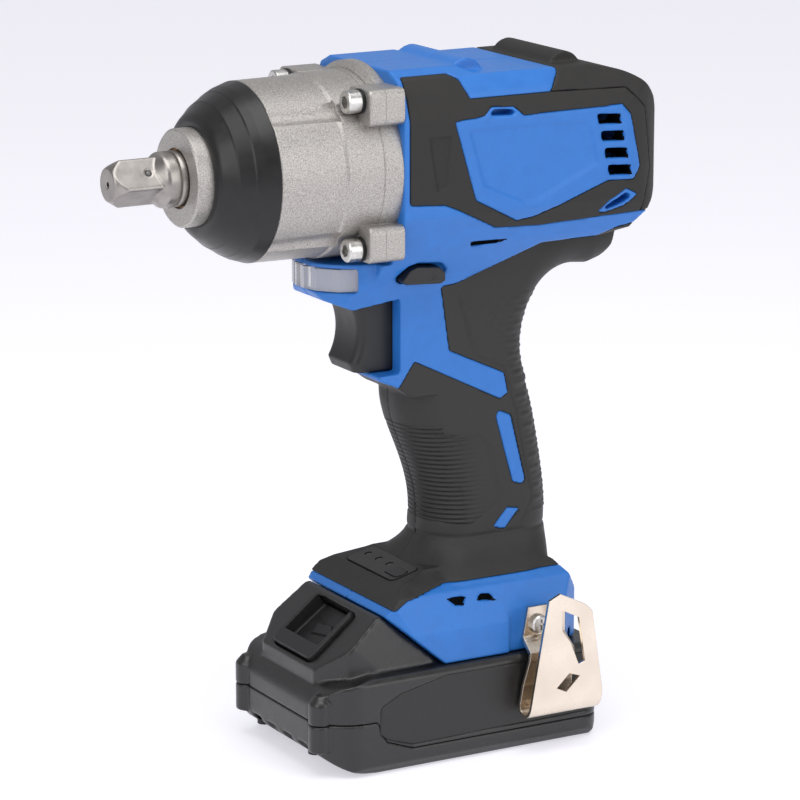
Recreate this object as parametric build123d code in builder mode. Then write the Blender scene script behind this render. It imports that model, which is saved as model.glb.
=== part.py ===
"""Cordless impact wrench with a half-inch square drive, in millimetres.

+X points out of the nose along the tool axis, +Y is the operator's left and +Z is up.
The origin is the centre of the battery's foot, so the tool stands on Z = 0.
"""

import os
from math import cos, pi, radians, sin

from build123d import *

os.makedirs("parts", exist_ok=True)

# ---------------------------------------------------------------- driving dimensions
AXIS_Z = 220.0            # height of the tool axis
RUN = 0.05                # radial clearance of a running fit
SKIN = 1.8                # thickness of the soft overmould
FAR = 80.0                # reach of a cutting tool that has to clear the whole tool

SQUARE = 12.7             # square drive, across flats
SQUARE_TURN = 38.5        # the square stands on a corner, a little off the vertical
TIP_X = 123.2
SQUARE_BACK_X = 104.0
SHANK_R = 10.0

NOSE_X = 96.4             # front face of the hammer case
NOSE_R = 17.6
CASE_R = 32.5
CASE_BACK_X = 31.0        # parting plane between hammer case and gear case
FLANGE_BACK_X = 23.5      # parting plane between gear case and plastic housing
LUG_FRONT_X = 37.4
SCREW_Y = 27.0            # case screws, off the tool axis
SCREW_Z = 26.5
SCREW_R = 2.5
SCREW_HEAD_R = 4.2
SCREW_TIP_X = 17.0

MODULE = 0.9
SUN_TEETH = 9
PLANET_TEETH = 18
RING_TEETH = 45
ADDENDUM = 0.8 * MODULE
DEDENDUM = 1.05 * MODULE
BACKLASH = 0.35
ORBIT_R = (SUN_TEETH + PLANET_TEETH) * MODULE / 2
GEAR_BACK_X = 14.5
GEAR_FRONT_X = 25.5

SHAFT_R = 4.0
STATOR_R = 28.0
STATOR_BACK_X = -46.0
STATOR_FRONT_X = -14.0
ROTOR_R = 13.6

BARREL_HALF_W = 34.5
BARREL_BACK_X = -92.5
BARREL_TOP_Z = 255.5
GRIP_HALF_W = 17.5

FOOT_Z = 36.8             # underside of the tool's foot, where the battery's side walls end
FOOT_HALF_W = 35.0
BATTERY_X = 60.0          # half length of the battery
BATTERY_Y = 38.0
CELL_R = 9.1
CELL_LENGTH = 65.0
CELL_PITCH = 20.0


def across(x):
    """Plane square to the tool axis at x: its own x is +Y and its own y is +Z, from the axis."""
    return Plane(origin=(x, 0, AXIS_Z), x_dir=(0, 1, 0), z_dir=(1, 0, 0))


LONG = Plane(origin=(0, 0, AXIS_Z), x_dir=(1, 0, 0), z_dir=(0, -1, 0))  # (x, radius) profiles
TOOL_AXIS = Axis((0, 0, AXIS_Z), (1, 0, 0))
FOUR_SCREWS = [(y, z) for y in (-SCREW_Y, SCREW_Y) for z in (-SCREW_Z, SCREW_Z)]


def ring(x_back, x_front, r_in, r_out):
    """A plain ring about the tool axis."""
    with BuildPart() as body:
        with BuildSketch(across(x_back)):
            Circle(r_out)
            Circle(r_in, mode=Mode.SUBTRACT)
        extrude(amount=x_front - x_back)
    return body.part


def prism(outline, half_width=FAR):
    """A side outline in x and z, carried the same way to both sides of the centre plane."""
    with BuildPart() as body:
        with BuildSketch(Plane.XZ):
            with BuildLine():
                Polyline(*outline, close=True)
            make_face()
        extrude(amount=half_width, both=True)
    return body.part


def gear_points(teeth, centre, phase, inner=False):
    """Corners of a straight-flanked gear outline, four for each tooth."""
    pitch_r = teeth * MODULE / 2
    tip_r = pitch_r - ADDENDUM if inner else pitch_r + ADDENDUM
    root_r = pitch_r + DEDENDUM if inner else pitch_r - DEDENDUM
    half_pitch = (pi * MODULE / 2 - BACKLASH) / 2
    half_tip = half_pitch - 0.36 * ADDENDUM
    half_root = half_pitch + 0.36 * DEDENDUM
    points = []
    for k in range(teeth):
        middle = radians(phase) + 2 * pi * k / teeth
        for radius, half in (
            (root_r, -half_root), (tip_r, -half_tip), (tip_r, half_tip), (root_r, half_root),
        ):
            angle = middle + half / radius
            points.append((centre[0] + radius * cos(angle), centre[1] + radius * sin(angle)))
    return points


# ---------------------------------------------------------------- anvil and nose
JAW_BACK_X = 60.0
JAW_FRONT_X = 67.0
PILOT_R = 5.0
DETENT_X = 109.5
DETENT_R = 1.0
DETENT_DEPTH = 4.2
square_face = Plane(
    origin=(
        DETENT_X, SQUARE / 2 * cos(radians(SQUARE_TURN)), AXIS_Z + SQUARE / 2 * sin(radians(SQUARE_TURN)),
    ),
    x_dir=(1, 0, 0),
    z_dir=(0, cos(radians(SQUARE_TURN)), sin(radians(SQUARE_TURN))),
)

with BuildPart() as anvil:
    with BuildSketch(LONG):
        with BuildLine():
            Polyline(
                (JAW_BACK_X, PILOT_R + RUN), (JAW_BACK_X, 13), (JAW_FRONT_X + 1, 13), (
                    JAW_FRONT_X + 1, SHANK_R,
                ),
                (97.8, SHANK_R), (98.2, SHANK_R - 0.35), (98.8, SHANK_R - 0.35), (99.2, SHANK_R),
                (103.2, SHANK_R), (104.2, 9.5), (107.0, 6.4), (107.0, 0), (70, 0), (70, PILOT_R + RUN),
                close=True,
            )
        make_face()
    revolve(axis=TOOL_AXIS)
    with BuildSketch(across(SQUARE_BACK_X)):
        RectangleRounded(SQUARE, SQUARE, 0.9, rotation=SQUARE_TURN)
    extrude(amount=TIP_X - SQUARE_BACK_X)
    with BuildSketch(LONG):
        with BuildLine():
            Polyline(
                (TIP_X + 1, 5.2), (TIP_X + 1, 12), (TIP_X - 4.6, 12), (TIP_X - 4.6, 8.9), (TIP_X, 6.0),
                close=True,
            )
        make_face()
    revolve(axis=TOOL_AXIS, mode=Mode.SUBTRACT)
    with BuildSketch(across(TIP_X)):
        Circle(1.2)
    extrude(amount=-4, mode=Mode.SUBTRACT)
    with BuildSketch(square_face):
        Circle(DETENT_R + RUN)
    extrude(amount=-DETENT_DEPTH, mode=Mode.SUBTRACT)
    with BuildSketch(square_face.offset(-0.25)):
        Circle(1.5)
    extrude(amount=1, mode=Mode.SUBTRACT)
    with BuildSketch(across(JAW_BACK_X)):
        Circle(24)
        Rectangle(60, 13, mode=Mode.INTERSECT)
        Circle(PILOT_R + RUN, mode=Mode.SUBTRACT)
    extrude(amount=JAW_FRONT_X - JAW_BACK_X)
anvil.part.label = "anvil"
export_step(anvil.part, "parts/anvil.step")

with BuildPart() as detent_pin:
    with BuildSketch(square_face.offset(-2.4)):
        Circle(DETENT_R)
    extrude(amount=2.4)
    fillet(detent_pin.faces().sort_by(SortBy.DISTANCE)[-1].edges(), 0.5)
detent_pin.part.label = "detent_pin"
export_step(detent_pin.part, "parts/detent_pin.step")

with BuildPart() as detent_spring:
    with BuildSketch(square_face.offset(-4.1)):
        Circle(0.75)
        Circle(0.35, mode=Mode.SUBTRACT)
    extrude(amount=1.6)
detent_spring.part.label = "detent_spring"
export_step(detent_spring.part, "parts/detent_spring.step")

anvil_bushing = ring(74, 95, SHANK_R + RUN, 12.6)
anvil_bushing.label = "anvil_bushing"
export_step(anvil_bushing, "parts/anvil_bushing.step")

LUG_IN = 18.0
LUG_OUT_Y = 34.4
LUG_OUT_Z = 31.0


def lug_sketch():
    """The four screw lugs that both metal cases share."""
    with BuildSketch() as lugs:
        for side in (-1, 1):
            for level in (-1, 1):
                with Locations((side * (LUG_IN + LUG_OUT_Y) / 2, level * (LUG_IN + LUG_OUT_Z) / 2)):
                    RectangleRounded(LUG_OUT_Y - LUG_IN, LUG_OUT_Z - LUG_IN, 2.6)
    return lugs.sketch


with BuildPart() as hammer_case:
    with BuildSketch(across(CASE_BACK_X)):
        add(lug_sketch())
        Circle(29.5, mode=Mode.SUBTRACT)
    extrude(amount=LUG_FRONT_X - CASE_BACK_X)
    fillet(hammer_case.faces().filter_by(Axis.X).sort_by(Axis.X)[-4:].edges(), 0.8)
    with BuildSketch(LONG):
        with BuildLine():
            Polyline(
                (NOSE_X, 10.8), (NOSE_X, NOSE_R - 0.7), (NOSE_X - 0.7, NOSE_R), (89.6, NOSE_R), (87.0, 20.5),
                (72.2, 30.2), (71.4, 30.2), (71.4, CASE_R - 0.5), (70.9, CASE_R), (46.2, CASE_R + 0.3),
                (45.2, CASE_R + 0.9), (CASE_BACK_X, CASE_R + 1.0), (CASE_BACK_X, 29.5), (66, 29.5), (70, 26),
                (73, 15), (73, 12.6), (95, 12.6), (95, 10.8), close=True,
            )
        make_face()
    revolve(axis=TOOL_AXIS)
    with BuildSketch(across(44.8)):
        for y, z in FOUR_SCREWS:
            with Locations((y, z)):
                Circle(6.7)
    extrude(amount=40, mode=Mode.SUBTRACT)
    with BuildSketch(across(LUG_FRONT_X)):
        for y, z in FOUR_SCREWS:
            with Locations((y, z)):
                Circle(5.2)
    extrude(amount=8, mode=Mode.SUBTRACT)
    with BuildSketch(across(CASE_BACK_X)):
        for y, z in FOUR_SCREWS:
            with Locations((y, z)):
                Circle(SCREW_R + 0.25)
    extrude(amount=10, mode=Mode.SUBTRACT)
hammer_case.part.label = "hammer_case"
export_step(hammer_case.part, "parts/hammer_case.step")

with BuildPart() as nose_boot:
    with BuildSketch(LONG):
        with BuildLine():
            outer = [
                (71.7, 30.8), (71.6, 32.5), (76.5, 30.9), (79.4, 29.4), (79.8, 29.0), (84.5, 26.2),
                (84.9, 25.7),
            ]
            Polyline(*outer, (88.6, 22.6))
            ThreePointArc((88.6, 22.6), (90.1, 20.4), (90.3, NOSE_R + 0.1))
            Polyline((90.3, NOSE_R + 0.1), (89.8, NOSE_R + 0.1), (87.2, 20.7), (71.7, 30.8))
        make_face()
    revolve(axis=TOOL_AXIS)
nose_boot.part.label = "nose_boot"
export_step(nose_boot.part, "parts/nose_boot.step")

# ---------------------------------------------------------------- gear case, screws, ring gear
with BuildPart() as gear_case:
    with BuildSketch(across(FLANGE_BACK_X)):
        add(lug_sketch())
        Circle(28.6, mode=Mode.SUBTRACT)
    extrude(amount=CASE_BACK_X - 0.02 - FLANGE_BACK_X)
    with BuildSketch(LONG):
        with BuildLine():
            Polyline(
                (CASE_BACK_X - 0.02, 28.6), (CASE_BACK_X - 0.02, CASE_R + 1), (30.6, CASE_R + 1.3),
                (FLANGE_BACK_X, CASE_R + 1.3), (FLANGE_BACK_X, 29), (8, 29), (4, 22), (4, 12), (-2, 12),
                (-2, 9.5), (5, 9.5), (5, 7), (6, 7), (6, 18.5), (14, 18.5), (14, 25), (27, 25),
                (27, 28.6), close=True,
            )
        make_face()
    revolve(axis=TOOL_AXIS)
    with BuildSketch(across(FLANGE_BACK_X)):
        Circle(36.6)
        Circle(33, mode=Mode.SUBTRACT)
        with Locations((0, 40)):
            Rectangle(46, 32, mode=Mode.INTERSECT)
    extrude(amount=5.6)
    chamfer(
        gear_case.edges().filter_by(GeomType.CIRCLE).filter_by_position(Axis.X, 29, 29.2).group_by(Axis.Z)[-1], 2.2,
    )
    with BuildSketch(across(FLANGE_BACK_X)):
        for y, z in FOUR_SCREWS:
            with Locations((y, z)):
                Circle(SCREW_R + 0.25)
    extrude(amount=10, mode=Mode.SUBTRACT)
gear_case.part.label = "gear_case"
export_step(gear_case.part, "parts/gear_case.step")

with BuildPart() as ring_gear:
    with BuildSketch(across(14.1)):
        Circle(24.98)
        with BuildLine():
            Polyline(*gear_points(RING_TEETH, (0, 0), 0, inner=True), close=True)
        make_face(mode=Mode.SUBTRACT)
    extrude(amount=11.8)
ring_gear.part.label = "ring_gear"
export_step(ring_gear.part, "parts/ring_gear.step")

with BuildPart() as case_screws:
    for y, z in FOUR_SCREWS:
        with BuildSketch(across(38.6)):
            with Locations((y, z)):
                Circle(SCREW_HEAD_R)
        extrude(amount=5.2)
    chamfer(case_screws.edges().filter_by(GeomType.CIRCLE).group_by(Axis.X)[-1], 0.5)
    for y, z in FOUR_SCREWS:
        with BuildSketch(across(43.8)):
            with Locations((y, z)):
                RegularPolygon(2.4, 6, rotation=20)
        extrude(amount=-3, mode=Mode.SUBTRACT)
        with BuildSketch(across(SCREW_TIP_X)):
            with Locations((y, z)):
                Circle(SCREW_R)
        extrude(amount=38.6 - SCREW_TIP_X)
case_screws.part.label = "case_screws"
export_step(case_screws.part, "parts/case_screws.step")

with BuildPart() as case_washers:
    for y, z in FOUR_SCREWS:
        with BuildSketch(across(LUG_FRONT_X)):
            with Locations((y, z)):
                Circle(SCREW_HEAD_R + 0.3)
                Circle(SCREW_R + 0.1, mode=Mode.SUBTRACT)
        extrude(amount=1.2)
case_washers.part.label = "case_washers"
export_step(case_washers.part, "parts/case_washers.step")

# ---------------------------------------------------------------- carrier, planets, hammer
CARRIER_POST_R = 16.2
PIN_R = 2.5
CAM_R = 7.0
BALL_R = 2.5
BALL_ORBIT = 7.9
BALL_X = 47.0
HAMMER_FRONT_X = 58.5
PLANET_ANGLES = (0, 120, 240)

with BuildPart() as carrier:
    with BuildSketch(LONG):
        with BuildLine():
            Polyline((6.2, 6), (6.2, 12.5), (11, 12.5), (11, 18), (14, 18), (14, 6), close=True)
        make_face()
        with BuildLine():
            Polyline(
                (26, 0), (26, 19), (29.3, 19), (29.3, CAM_R), (JAW_BACK_X - 0.6, CAM_R),
                (JAW_BACK_X - 0.6, PILOT_R), (68, PILOT_R), (68, 0), close=True,
            )
        make_face()
    revolve(axis=TOOL_AXIS)
    with BuildSketch(across(14)):
        with PolarLocations(CARRIER_POST_R, 3, start_angle=60):
            Circle(2.0)
    extrude(amount=12)
    with BuildSketch(across(11)):
        with PolarLocations(ORBIT_R, 3):
            Circle(PIN_R)
    extrude(amount=18.3, mode=Mode.SUBTRACT)
    with Locations(*[(BALL_X, y, AXIS_Z) for y in (-BALL_ORBIT, BALL_ORBIT)]):
        Sphere(BALL_R + RUN, mode=Mode.SUBTRACT)
carrier.part.label = "carrier"
export_step(carrier.part, "parts/carrier.step")

carrier_bearing = ring(6.2, 10.9, 12.5 + RUN, 18.5)
carrier_bearing.label = "carrier_bearing"
export_step(carrier_bearing, "parts/carrier_bearing.step")

with BuildPart() as planet_pins:
    with BuildSketch(across(11.2)):
        with PolarLocations(ORBIT_R, 3):
            Circle(PIN_R)
    extrude(amount=17.8)
planet_pins.part.label = "planet_pins"
export_step(planet_pins.part, "parts/planet_pins.step")

for number, angle in enumerate(PLANET_ANGLES, start=1):
    orbit = (ORBIT_R * cos(radians(angle)), ORBIT_R * sin(radians(angle)))
    with BuildPart() as planet:
        with BuildSketch(across(GEAR_BACK_X)):
            with BuildLine():
                Polyline(*gear_points(PLANET_TEETH, orbit, angle + 180 / PLANET_TEETH), close=True)
            make_face()
            with Locations(orbit):
                Circle(PIN_R + RUN, mode=Mode.SUBTRACT)
        extrude(amount=GEAR_FRONT_X - GEAR_BACK_X)
    planet.part.label = f"planet_gear_{number}"
    export_step(planet.part, f"parts/planet_gear_{number}.step")

with BuildPart() as cam_balls:
    with Locations(*[(BALL_X, y, AXIS_Z) for y in (-BALL_ORBIT, BALL_ORBIT)]):
        Sphere(BALL_R)
cam_balls.part.label = "cam_balls"
export_step(cam_balls.part, "parts/cam_balls.step")

with BuildPart() as hammer:
    with BuildSketch(LONG):
        with BuildLine():
            Polyline(
                (38, 21.5), (38, 26.8), (38.7, 27.5), (57.8, 27.5), (HAMMER_FRONT_X, 26.8), (
                    HAMMER_FRONT_X, CAM_R + RUN,
                ),
                (42, CAM_R + RUN), (42, 11), (51, 11), (51, 21.5), close=True,
            )
        make_face()
    revolve(axis=TOOL_AXIS)
    with BuildSketch(across(HAMMER_FRONT_X)):
        Circle(26)
        Rectangle(13, 60, mode=Mode.INTERSECT)
        Circle(14, mode=Mode.SUBTRACT)
    extrude(amount=7)
    for y in (-BALL_ORBIT, BALL_ORBIT):
        with BuildSketch(across(BALL_X)):
            with Locations((y, 0)):
                Circle(BALL_R + 0.2)
        extrude(amount=20, mode=Mode.SUBTRACT)
        with Locations((BALL_X, y, AXIS_Z)):
            Sphere(BALL_R + 0.2, mode=Mode.SUBTRACT)
hammer.part.label = "hammer"
export_step(hammer.part, "parts/hammer.step")

spring_washer = ring(29.3, 31.0, CAM_R, 18.6)
spring_washer.label = "spring_washer"
export_step(spring_washer, "parts/spring_washer.step")

SPRING_R = 16.2
SPRING_WIRE_R = 1.4
with BuildPart() as hammer_spring:
    with BuildLine() as coil:
        Helix(pitch=4.7, height=16.9, radius=SPRING_R, center=(32.5, 0, AXIS_Z), direction=(1, 0, 0))
    with BuildSketch(Plane(origin=coil.line @ 0, z_dir=coil.line % 0)):
        Circle(SPRING_WIRE_R)
    sweep(path=coil.line, is_frenet=True)
hammer_spring.part.label = "hammer_spring"
export_step(hammer_spring.part, "parts/hammer_spring.step")

# ---------------------------------------------------------------- motor
POLES = 6

with BuildPart() as rotor_shaft:
    with BuildSketch(across(-76)):
        Circle(SHAFT_R)
    extrude(amount=76 + GEAR_BACK_X - 0.2)
    with BuildSketch(across(GEAR_BACK_X - 0.2)):
        with BuildLine():
            Polyline(*gear_points(SUN_TEETH, (0, 0), 0), close=True)
        make_face()
    extrude(amount=GEAR_FRONT_X - GEAR_BACK_X)
rotor_shaft.part.label = "rotor_shaft"
export_step(rotor_shaft.part, "parts/rotor_shaft.step")

with BuildPart() as rotor_core:
    with BuildSketch(across(STATOR_BACK_X)):
        Circle(ROTOR_R)
        Circle(SHAFT_R, mode=Mode.SUBTRACT)
        with PolarLocations(10.6, POLES):
            Rectangle(2.4, 9.0, mode=Mode.SUBTRACT)
    extrude(amount=STATOR_FRONT_X - STATOR_BACK_X)
rotor_core.part.label = "rotor_core"
export_step(rotor_core.part, "parts/rotor_core.step")

with BuildPart() as rotor_magnets:
    with BuildSketch(across(STATOR_BACK_X + 0.5)):
        with PolarLocations(10.6, POLES):
            Rectangle(2.3, 8.9)
    extrude(amount=STATOR_FRONT_X - STATOR_BACK_X - 1)
rotor_magnets.part.label = "rotor_magnets"
export_step(rotor_magnets.part, "parts/rotor_magnets.step")

with BuildPart() as cooling_fan:
    with BuildSketch(across(-60)):
        Circle(25)
        Circle(SHAFT_R, mode=Mode.SUBTRACT)
    extrude(amount=1.6)
    with BuildSketch(across(-60)):
        Circle(8)
        Circle(SHAFT_R, mode=Mode.SUBTRACT)
        with PolarLocations(16.5, 11):
            Rectangle(17.5, 1.4, rotation=24)
    extrude(amount=8)
cooling_fan.part.label = "cooling_fan"
export_step(cooling_fan.part, "parts/cooling_fan.step")

with BuildPart() as stator_core:
    with BuildSketch(across(STATOR_BACK_X)):
        Circle(STATOR_R)
        Circle(24.2, mode=Mode.SUBTRACT)
        with PolarLocations(19.8, POLES):
            Rectangle(9.6, 5.6)
        with PolarLocations(15.6, POLES):
            Rectangle(2.2, 12.4)
        Circle(ROTOR_R + 0.6, mode=Mode.SUBTRACT)
    extrude(amount=STATOR_FRONT_X - STATOR_BACK_X)
stator_core.part.label = "stator_core"
export_step(stator_core.part, "parts/stator_core.step")

with BuildPart() as stator_windings:
    with BuildSketch(across(STATOR_BACK_X - 2.5)):
        with PolarLocations(20.3, POLES):
            Rectangle(6.0, 10.6)
    extrude(amount=STATOR_FRONT_X - STATOR_BACK_X + 5)
    with BuildSketch(across(STATOR_BACK_X)):
        with PolarLocations(20.3, POLES):
            Rectangle(7.0, 5.8)
    extrude(amount=STATOR_FRONT_X - STATOR_BACK_X, mode=Mode.SUBTRACT)
stator_windings.part.label = "stator_windings"
export_step(stator_windings.part, "parts/stator_windings.step")

sensor_board = ring(-10.6, -9.2, 8, 26.5)
sensor_board.label = "sensor_board"
export_step(sensor_board, "parts/sensor_board.step")

with BuildPart() as shaft_bearings:
    add(ring(-1, 4.9, SHAFT_R + RUN, 9.5))
    add(ring(-76, -70.5, SHAFT_R + RUN, 8.5))
shaft_bearings.part.label = "shaft_bearings"
export_step(shaft_bearings.part, "parts/shaft_bearings.step")


# ---------------------------------------------------------------- outer form of the plastic housing
def barrel_form(inset):
    """Motor barrel: side, end and plan outlines meet, drawn in by the inset all round."""
    with BuildPart() as form:
        with BuildSketch(Plane.XZ):
            with BuildLine():
                top = Polyline(
                    (FLANGE_BACK_X, 188), (FLANGE_BACK_X, BARREL_TOP_Z), (-4, BARREL_TOP_Z), (-9, 252.8),
                    (-57, 252.8), (-67, 250.6),
                )
                back = ThreePointArc(top @ 1, (-86.2, 238), (BARREL_BACK_X, 217))
                tail = ThreePointArc(back @ 1, (-89.4, 205.5), (-80, 196.5))
                Polyline(tail @ 1, (-75, 191), (-66, 188), (FLANGE_BACK_X, 188))
            make_face()
            if inset:
                offset(amount=-inset, kind=Kind.INTERSECTION)
        extrude(amount=FAR, both=True)
        with BuildSketch(Plane.YZ):
            with BuildLine():
                half = [
                    (21.5, BARREL_TOP_Z + 0.1), (28.4, 252.6), (31.6, 246.8), (BARREL_HALF_W, 238.4),
                    (BARREL_HALF_W, 203.6), (28.6, 191.0), (22, 187),
                ]
                Polyline(*half, *[(-y, z) for y, z in reversed(half)], close=True)
            make_face()
            if inset:
                offset(amount=-inset, kind=Kind.INTERSECTION)
        extrude(amount=2 * FAR, both=True, mode=Mode.INTERSECT)
        with BuildSketch(Plane.XY.offset(150)) as plan:
            with Locations(((BARREL_BACK_X + FLANGE_BACK_X + 20) / 2, 0)):
                Rectangle(FLANGE_BACK_X + 20 - BARREL_BACK_X, 2 * BARREL_HALF_W)
            fillet(plan.vertices().group_by(Axis.X)[0], 24)
            if inset:
                offset(amount=-inset, kind=Kind.INTERSECTION)
        extrude(amount=120, mode=Mode.INTERSECT)
        for middle, base in ((-9.8, 251.6), (-51.2, 251.0)):
            with BuildSketch(Plane.XZ):
                with Locations((middle, base - 1.6)):
                    Circle(7.4 - inset)
            extrude(amount=20 - inset, both=True)
    return form.part


def head_form(inset):
    """The wedge under the barrel and the chin that carries the work light."""
    with BuildPart() as form:
        with BuildSketch(Plane.XZ):
            with BuildLine():
                Polyline(
                    (FLANGE_BACK_X, 207), (FLANGE_BACK_X, 186.0), (46, 186.0), (47.6, 183.4), (47.2, 176.6),
                    (44, 172.4), (35.2, 169), (15, 171.4), (-7.5, 174.6), (-38.4, 188.2), (-61, 188.4),
                    (-73, 192.5), (-79.5, 196.5), (-79.5, 207), close=True,
                )
            make_face()
            if inset:
                offset(amount=-inset, kind=Kind.INTERSECTION)
        extrude(amount=FAR, both=True)
        with BuildSketch(Plane.YZ):
            with BuildLine():
                half = [
                    (BARREL_HALF_W, 208), (BARREL_HALF_W, 203.6), (28.6, 191.0), (20, 177.5),
                    (17.5, 172.5), (17.5, 160),
                ]
                Polyline(*half, *[(-y, z) for y, z in reversed(half)], close=True)
            make_face()
            if inset:
                offset(amount=-inset, kind=Kind.INTERSECTION)
        extrude(amount=2 * FAR, both=True, mode=Mode.INTERSECT)
        with BuildSketch(Plane.XY.offset(150)):
            with BuildLine():
                tail = Polyline(
                    (28, 20.5), (24.5, 36), (-62, 36), (-80, 23), (-80, -23), (-62, -36), (24.5, -36),
                    (28, -20.5),
                )
                ThreePointArc(tail @ 1, (47.6, 0), tail @ 0)
            make_face()
            if inset:
                offset(amount=-inset, kind=Kind.INTERSECTION)
        extrude(amount=80, mode=Mode.INTERSECT)
    return form.part


def neck_form(inset):
    """Trigger column, web of the hand and the tang behind it."""
    width = GRIP_HALF_W - inset
    with BuildPart() as form:
        with BuildSketch(Plane.XZ):
            with BuildLine():
                web = ThreePointArc((-42.6, 134), (-39.6, 151), (-45.6, 167))
                tang = TangentArc(web @ 1, (-62, 175.2), tangent=web % 1)
                Polyline(
                    tang @ 1, (-68, 174.6), (-72.6, 176), (-75.5, 182), (-76.5, 192), (15.6, 192), (
                        15.6, 143.6,
                    ),
                    (24.2, 143.2), (24.4, 141.4), (17.4, 138.6), (11.2, 134), web @ 0,
                )
            make_face()
            if inset:
                offset(amount=-inset, kind=Kind.INTERSECTION)
        extrude(amount=width, both=True)
        back = form.edges().filter_by_position(Axis.X, -75, -38).filter_by_position(Axis.Z, 134, 178)
        fillet(back.filter_by(lambda edge: abs(abs(edge.center().Y) - width) < 0.01), 11)
    return form.part


GRIP_SECTIONS = [  # height, back, front, half width, corner radius
    (80.0, -52.4, -0.4, 18.0, 16.0),
    (92.0, -52.0, -0.2, 17.6, 15.6),
    (106.0, -50.0, 3.6, 17.3, 15.4),
    (121.0, -47.0, 9.4, 17.3, 15.2),
    (135.0, -42.4, 11.0, 17.4, 14.0),
]
FLARE_SECTIONS = [
    (63.0, -49.0, 14.0, 29.0, 17.0),
    (67.5, -50.5, 8.5, 25.0, 17.0),
    (72.0, -52.0, 3.6, 20.5, 16.0),
    (76.0, -52.6, 0.6, 18.3, 16.0),
    (80.0, -52.4, -0.4, 18.0, 16.0),
]


def lofted(sections, inset):
    """A body through rounded sections at rising heights."""
    with BuildPart() as form:
        for height, back, front, half, corner in sections:
            with BuildSketch(Plane.XY.offset(height)):
                with Locations(((back + front) / 2, 0)):
                    RectangleRounded(front - back - 2 * inset, 2 * (half - inset), corner - inset)
        loft()
    return form.part


def foot_form(inset):
    """The foot that sits on the battery, faceted by its side, end and plan outlines."""
    with BuildPart() as form:
        with BuildSketch(Plane.XZ):
            with BuildLine():
                Polyline(
                    (-54, FOOT_Z), (6.5, FOOT_Z), (29.2, 56.6), (26.6, 59.4), (20.6, 65.6), (6.6, 69.2), (
                        -40, 70.5,
                    ),
                    (-46.5, 66.5), (-54, 55.5), close=True,
                )
            make_face()
            if inset:
                offset(amount=-inset, kind=Kind.INTERSECTION)
        extrude(amount=FAR, both=True)
        with BuildSketch(Plane.YZ):
            with BuildLine():
                half = [(FOOT_HALF_W, 30), (FOOT_HALF_W, 49), (30.5, 62.5), (20.5, 68.4), (16, 74)]
                Polyline(*half, *[(-y, z) for y, z in reversed(half)], close=True)
            make_face()
            if inset:
                offset(amount=-inset, kind=Kind.INTERSECTION)
        extrude(amount=2 * FAR, both=True, mode=Mode.INTERSECT)
        with BuildSketch(Plane.XY):
            with BuildLine():
                half = [(29.4, 29.5), (20, FOOT_HALF_W), (-44, FOOT_HALF_W), (-54, 27)]
                Polyline(*half, *[(x, -y) for x, y in reversed(half)], close=True)
            make_face()
            if inset:
                offset(amount=-inset, kind=Kind.INTERSECTION)
        extrude(amount=100, mode=Mode.INTERSECT)
    return form.part


def housing_form(inset=0.0):
    """The whole outer form, or the same form drawn in by the inset."""
    with BuildPart() as form:
        add(barrel_form(inset))
        add(head_form(inset))
        add(neck_form(inset))
        add(lofted(GRIP_SECTIONS, inset))
        add(lofted(FLARE_SECTIONS, inset))
        add(foot_form(inset))
    return form.part


# Side outlines, in x and z, of the soft overmoulds and of the hard panels that they leave bare.
SIDE_PANEL = [
    (3.0, 237.3), (-9.1, 238.2), (-12.6, 241.2), (-21.7, 240.7), (-25.6, 237.4), (-67.6, 238.1), (
        -71.3, 234.2,
    ),
    (-76.4, 214.5), (-73.3, 209.9), (-61.7, 210.3), (-31, 199.6), (-24, 198.8), (-5.8, 208.1),
]
BARREL_REGION = [
    (21.2, 253.4), (2.4, 253.4), (-1.5, 251.2), (-4.4, 244.6), (-38.2, 244.6), (-70, 243.7), (-78.5, 236),
    (-82.5, 213), (-77.5, 197.2), (-34.5, 195.9), (-16.1, 196.8), (2.2, 205.6), (6.8, 207.5), (21.2, 208.6),
]
COVER_REGION = [
    (-38.2, 270), (-42.5, 251.0), (-38.2, 244.6), (-70, 243.7), (-78.5, 236), (-82.5, 213), (-77.5, 197.2),
    (-110, 197.2), (-110, 270),
]
LONG_BADGE = [(-26.2, 124.8), (-31.4, 122.6), (-37.8, 97.4), (-36.4, 95.4), (-32.4, 96.8), (-25.0, 122.6)]
SMALL_BADGE = [(-29.8, 87.3), (-35.2, 86.3), (-28.7, 79.3), (-23.6, 80.5)]
GRIP_REGION = [
    (17.4, 136.5), (9.8, 147.4), (-26.6, 129.2), (-30.0, 131.0), (-28.2, 138.9), (-4.8, 149.8), (-1.2, 174.4),
    (-7.6, 175.0), (-38.4, 188.4), (-62, 188.6), (-69, 191.4), (-90, 195), (-90, 60), (-47, 64.7), (
        2.4, 64.7,
    ),
    (20.2, 61.6), (25.4, 58.8), (40, 58.8), (40, 136.5),
]

form_outer = housing_form()
form_inner = housing_form(SKIN)

with BuildPart() as overmould:
    add(form_outer)
    add(form_inner, mode=Mode.SUBTRACT)

with BuildPart() as barrel_cut:
    add(prism(BARREL_REGION))
    add(prism(SIDE_PANEL), mode=Mode.SUBTRACT)

with BuildPart() as grip_cut:
    add(prism(GRIP_REGION))
    add(prism(LONG_BADGE), mode=Mode.SUBTRACT)
    add(prism(SMALL_BADGE), mode=Mode.SUBTRACT)

with BuildPart() as barrel_skin:
    add(overmould.part)
    add(barrel_cut.part, mode=Mode.INTERSECT)

with BuildPart() as grip_skin:
    add(overmould.part)
    add(grip_cut.part, mode=Mode.INTERSECT)


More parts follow.
